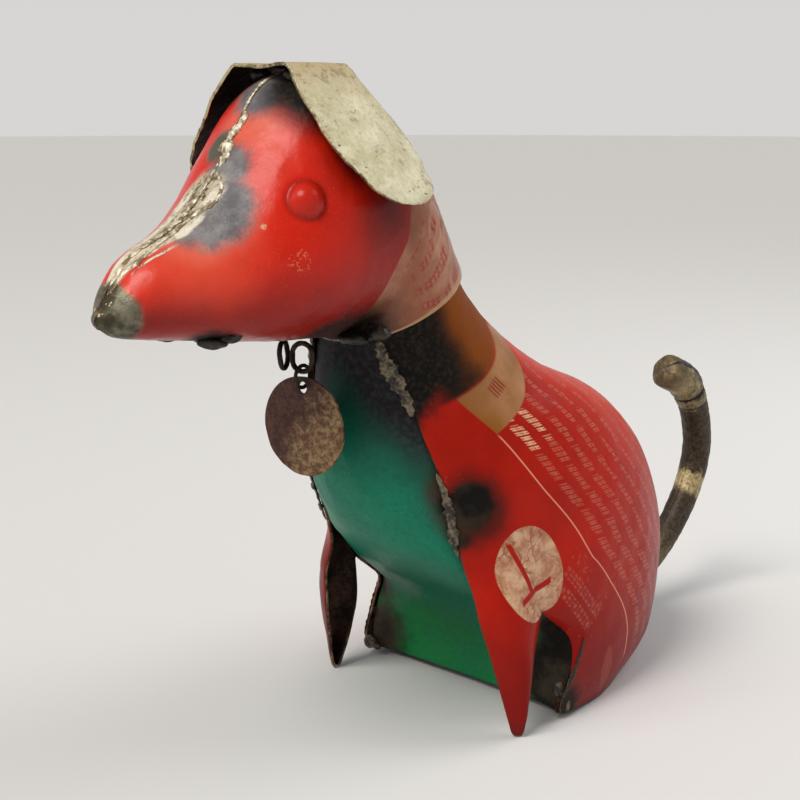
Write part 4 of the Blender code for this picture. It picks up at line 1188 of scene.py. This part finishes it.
def bead(name, line, out, width, height, finish, seed, sink=0.4):
    """A run of weld along a line: a flat-bottomed tube, half its width and height swelling at
    every drop and fading at both ends as the root of a sine."""
    count = len(line)
    along = np.gradient(line, axis=0)
    along /= np.maximum(np.linalg.norm(along, axis=1, keepdims=True), 1e-12)
    side = np.cross(along, out)
    length = np.concatenate([[0], np.cumsum(np.linalg.norm(np.diff(line, axis=0), axis=1))])
    pick = np.random.default_rng(seed)
    wander = np.cumsum(pick.normal(0, 0.09, count))
    drops = np.abs(np.sin(np.pi * length / (width * 0.0011) + wander))
    ends = np.sqrt(np.sin(np.linspace(0.02, np.pi - 0.02, count)))
    swell = ends * (0.62 + 0.38 * drops) * (1 + 0.25 * ripple(line, 0.006, seed))
    turns = np.linspace(0, 2 * np.pi, 21)
    lift = np.where(np.sin(turns) > 0, np.sin(turns), np.sin(turns) * sink)
    flat, high = np.cos(turns)[:, None] * width / 2, lift[:, None] * height
    ring = side[:, None] * flat + out[:, None] * high
    points = line[:, None] + (swell * MM)[:, None, None] * ring
    points += (points - line[:, None]) * 0.16 * ripple(points, 0.0016, seed + 50)[..., None]
    index = np.arange(count * 21).reshape(count, 21)
    index[:, -1] = index[:, 0]
    new_piece(name, points.reshape(-1, 3), quads(index), [finish], None)


def blobs(name, places, finish, seed):
    """Lumps of weld: each row is a middle and three half sizes, a ball pushed in and out by
    two ripples."""
    rows = np.asarray(places, float)
    down, round_it = np.linspace(0.03, np.pi - 0.03, 22), np.linspace(0, 2 * np.pi, 33)
    polar, around = np.meshgrid(down, round_it, indexing="ij")
    sine = np.sin(polar)
    ball = np.stack([sine * np.cos(around), sine * np.sin(around), np.cos(polar)], -1)
    points = (rows[:, None, None, :3] + ball[None] * rows[:, None, None, 3:]) * MM
    middle = rows[:, None, None, :3] * MM
    uneven = 0.16 * ripple(points, 0.0050, seed) + 0.05 * ripple(points, 0.0018, seed + 1)
    points += (points - middle) * uneven[..., None]
    one = np.arange(22 * 33).reshape(22, 33)
    one[:, -1] = one[:, 0]
    faces = np.concatenate([quads(one) + k * one.size for k in range(len(rows))])
    new_piece(name, points.reshape(-1, 3), faces, [finish], None)


def head_skin(places, angles):
    """The head's skin."""
    return skin(HEAD_STATIONS, places, angles)


weld_pale = weld_finish("weld_pale", srgb(120, 100, 70), srgb(250, 240, 214), 0.35)
weld_dark = weld_finish("weld_dark", srgb(16, 13, 11), srgb(58, 48, 38), 0.4)
weld_grey = weld_finish("weld_grey", srgb(34, 28, 22), srgb(132, 118, 94), 0.45)
crown_places = np.linspace(4.25, 5.25, 90)
crown_angles = 3.0 + 2.0 * np.sin(crown_places * 9)
bead("weld_crown", *lie_on(head_skin, crown_places, crown_angles), 4.0, 0.9, weld_pale, 21)
seam_places = np.linspace(5.2, 6.5, 80)
seam_angles = np.ones_like(seam_places)
bead("weld_crown_thin", *lie_on(head_skin, seam_places, seam_angles), 1.3, 0.35, weld_pale, 22)
streak_places = np.linspace(0.6, 4.15, 200)
streak_rows = np.interp(streak_places, STREAK_PLACES, np.arange(len(STREAK_PLACES)))
streak_angles = curve(STREAK_ANGLES, streak_rows)[:, 0]
bead("weld_muzzle", *lie_on(head_skin, streak_places, streak_angles), 1.8, 0.3, weld_pale, 23)
ridge_places = np.linspace(0.9, 4.3, 160)
ridge_angles = np.ones_like(ridge_places)
bead("weld_ridge", *lie_on(head_skin, ridge_places, ridge_angles), 2.6, 0.3, weld_pale, 24)
side_places = np.linspace(4.55, 6.15, 110)
side_angles = curve(SIDE_EDGE, side_places)[:, 0] + 1.0
neck_places = np.linspace(1.2, 3.4, 120)
neck_angles = curve(SIDE_EDGE, neck_places)[:, 0] + 1.5
for side, sign in (("left", 1.0), ("right", -1.0)):
    line, out = (v * [sign, 1, 1] for v in lie_on(body_skin, side_places, side_angles))
    bead(f"weld_side_{side}", line, out, 3.4, 1.0, weld_grey, 25)
    line, out = (v * [sign, 1, 1] for v in lie_on(body_skin, neck_places, neck_angles))
    bead(f"weld_neck_{side}", line, out, 5.2, 0.8, weld_grey, 26)
line, out = lie_on(body_skin, np.linspace(8.2, 9.7, 70), np.full(70, 100.0))
bead("weld_flap", flare(line), out, 2.0, 0.5, weld_dark, 27)
bead("weld_flap_far", flare(line) * [-1, 1, 1], out * [-1, 1, 1], 2.0, 0.5, weld_dark, 28)
# Each row of a table of lumps is a middle and three half sizes, in millimetres.
JAW_BLOBS = (
    (8.0, -152.5, 126.6, 4.8, 4.4, 1.7),
    (12.0, -150.0, 128.0, 3.0, 3.4, 1.9),
    (-7.5, -154.0, 126.6, 4.2, 4.2, 1.7),
    (16.0, -109.0, 123.2, 4.6, 4.6, 2.0),
    (21.5, -106.0, 125.0, 3.6, 3.8, 2.4),
    (-16.0, -109.0, 123.2, 4.2, 4.6, 2.0),
)
blobs("weld_jaw", JAW_BLOBS, weld_dark, 31)
CORNER_BLOBS = (
    (41.2, -45.2, 4.6, 2.0, 1.6, 2.4),
    (40.2, -46.4, 9.0, 1.6, 1.2, 2.6),
    (-39.6, -49.2, 4.6, 2.4, 1.6, 2.2),
    (-36.2, -49.4, 3.6, 1.8, 1.2, 1.2),
)
blobs("weld_corners", CORNER_BLOBS, weld_grey, 33)
TAIL_WELD_RADIUS = 4.6
TAIL_BLOBS = []
for k in range(6):
    out_x, out_z = TAIL_WELD_RADIUS * math.sin(k * 1.05), TAIL_WELD_RADIUS * math.cos(k * 1.05)
    TAIL_BLOBS.append((out_x, 38.2, 13.0 + out_z, 2.0, 1.2, 2.0))
blobs("weld_tail", TAIL_BLOBS, weld_dark, 35)
EAR_BLOBS = ((6.5, -122.0, 193.4, 3.2, 3.0, 1.8), (-6.5, -122.0, 193.4, 3.2, 3.0, 1.8))
blobs("weld_ears", EAR_BLOBS, weld_dark, 37)

# The room: a pale matt floor under a broad soft sun and two weak soft boxes, and the camera
# where the picture was taken.
CAMERA_PLACE = np.array([0.30603, -0.39122, 0.18963])
CAMERA_TURN = 44.1
CAMERA_DIP = 11.7
CAMERA_LENS = 67.5
LIT_PLACE = Vector((0, -0.02, 0.11))
SKY_LOW = (0.68, 0.67, 0.66, 1)
SKY_HIGH = (0.26, 0.26, 0.26, 1)
FLOOR_GREY = (0.72, 0.72, 0.72, 1)
FLOOR_SIDES = 96
FLOOR_RADIUS = 6


def looking(turn, dip):
    """A rotation that looks from azimuth turn, down by dip, both in degrees."""
    a, e = math.radians(turn), math.radians(dip)
    back = Vector((math.sin(a) * math.cos(e), -math.cos(a) * math.cos(e), math.sin(e)))
    right = Vector((math.cos(a), math.sin(a), 0))
    return Matrix((right, back.cross(right), back)).transposed()


camera_data = bpy.data.cameras.new("camera")
camera_data.lens = CAMERA_LENS
camera_data.sensor_width = 36
camera = bpy.data.objects.new("camera", camera_data)
bpy.context.scene.collection.objects.link(camera)
camera_turn = looking(CAMERA_TURN, CAMERA_DIP).to_4x4()
camera.matrix_world = Matrix.Translation(Vector(CAMERA_PLACE + SLIDE)) @ camera_turn
bpy.context.scene.camera = camera


def lamp(kind, name, turn, rise, distance, power):
    """A light at azimuth turn and height rise, facing the dog's chest."""
    data = bpy.data.lights.new(name, kind)
    data.energy = power
    made = bpy.data.objects.new(name, data)
    bpy.context.scene.collection.objects.link(made)
    facing_turn = looking(turn, rise)
    place = LIT_PLACE + facing_turn @ Vector((0, 0, distance))
    made.matrix_world = Matrix.Translation(place) @ facing_turn.to_4x4()
    return data


lamp("AREA", "rim", 150, 42, 1.0, 3.5).size = 0.6
lamp("AREA", "fill", -30, 25, 1.1, 1.2).size = 0.5
sun = lamp("SUN", "key", 2, 52, 1.0, 2.3)
sun.angle = math.radians(28)
sun.color = (1.0, 0.95, 0.88)

world = bpy.data.worlds.new("studio")
world.use_nodes = True
sky = world.node_tree
rise = Wire(sky, sky.nodes.new("ShaderNodeTexCoord").outputs["Generated"]).part(2)
shade = rise.rise(0.04, 0.30).over(SKY_LOW, SKY_HIGH)
sky.links.new(shade.socket, sky.nodes["Background"].inputs["Color"])
bpy.context.scene.world = world
bpy.context.scene.view_settings.view_transform = "Standard"

floor_mesh = bpy.data.meshes.new("floor")
floor_turns = np.arange(FLOOR_SIDES) * 2 * np.pi / FLOOR_SIDES
floor_rim = np.stack([np.cos(floor_turns), np.sin(floor_turns), 0 * floor_turns], -1) * FLOOR_RADIUS
floor_mesh.from_pydata(floor_rim.tolist(), [], [list(range(FLOOR_SIDES))])
floor = bpy.data.objects.new("floor", floor_mesh)
bpy.context.scene.collection.objects.link(floor)
floor_paint = bpy.data.materials.new("floor_paint")
floor_paint.use_nodes = True
floor_shader = floor_paint.node_tree.nodes["Principled BSDF"]
floor_shader.inputs["Base Color"].default_value = FLOOR_GREY
floor_shader.inputs["Roughness"].default_value = 0.9
floor_mesh.materials.append(floor_paint)
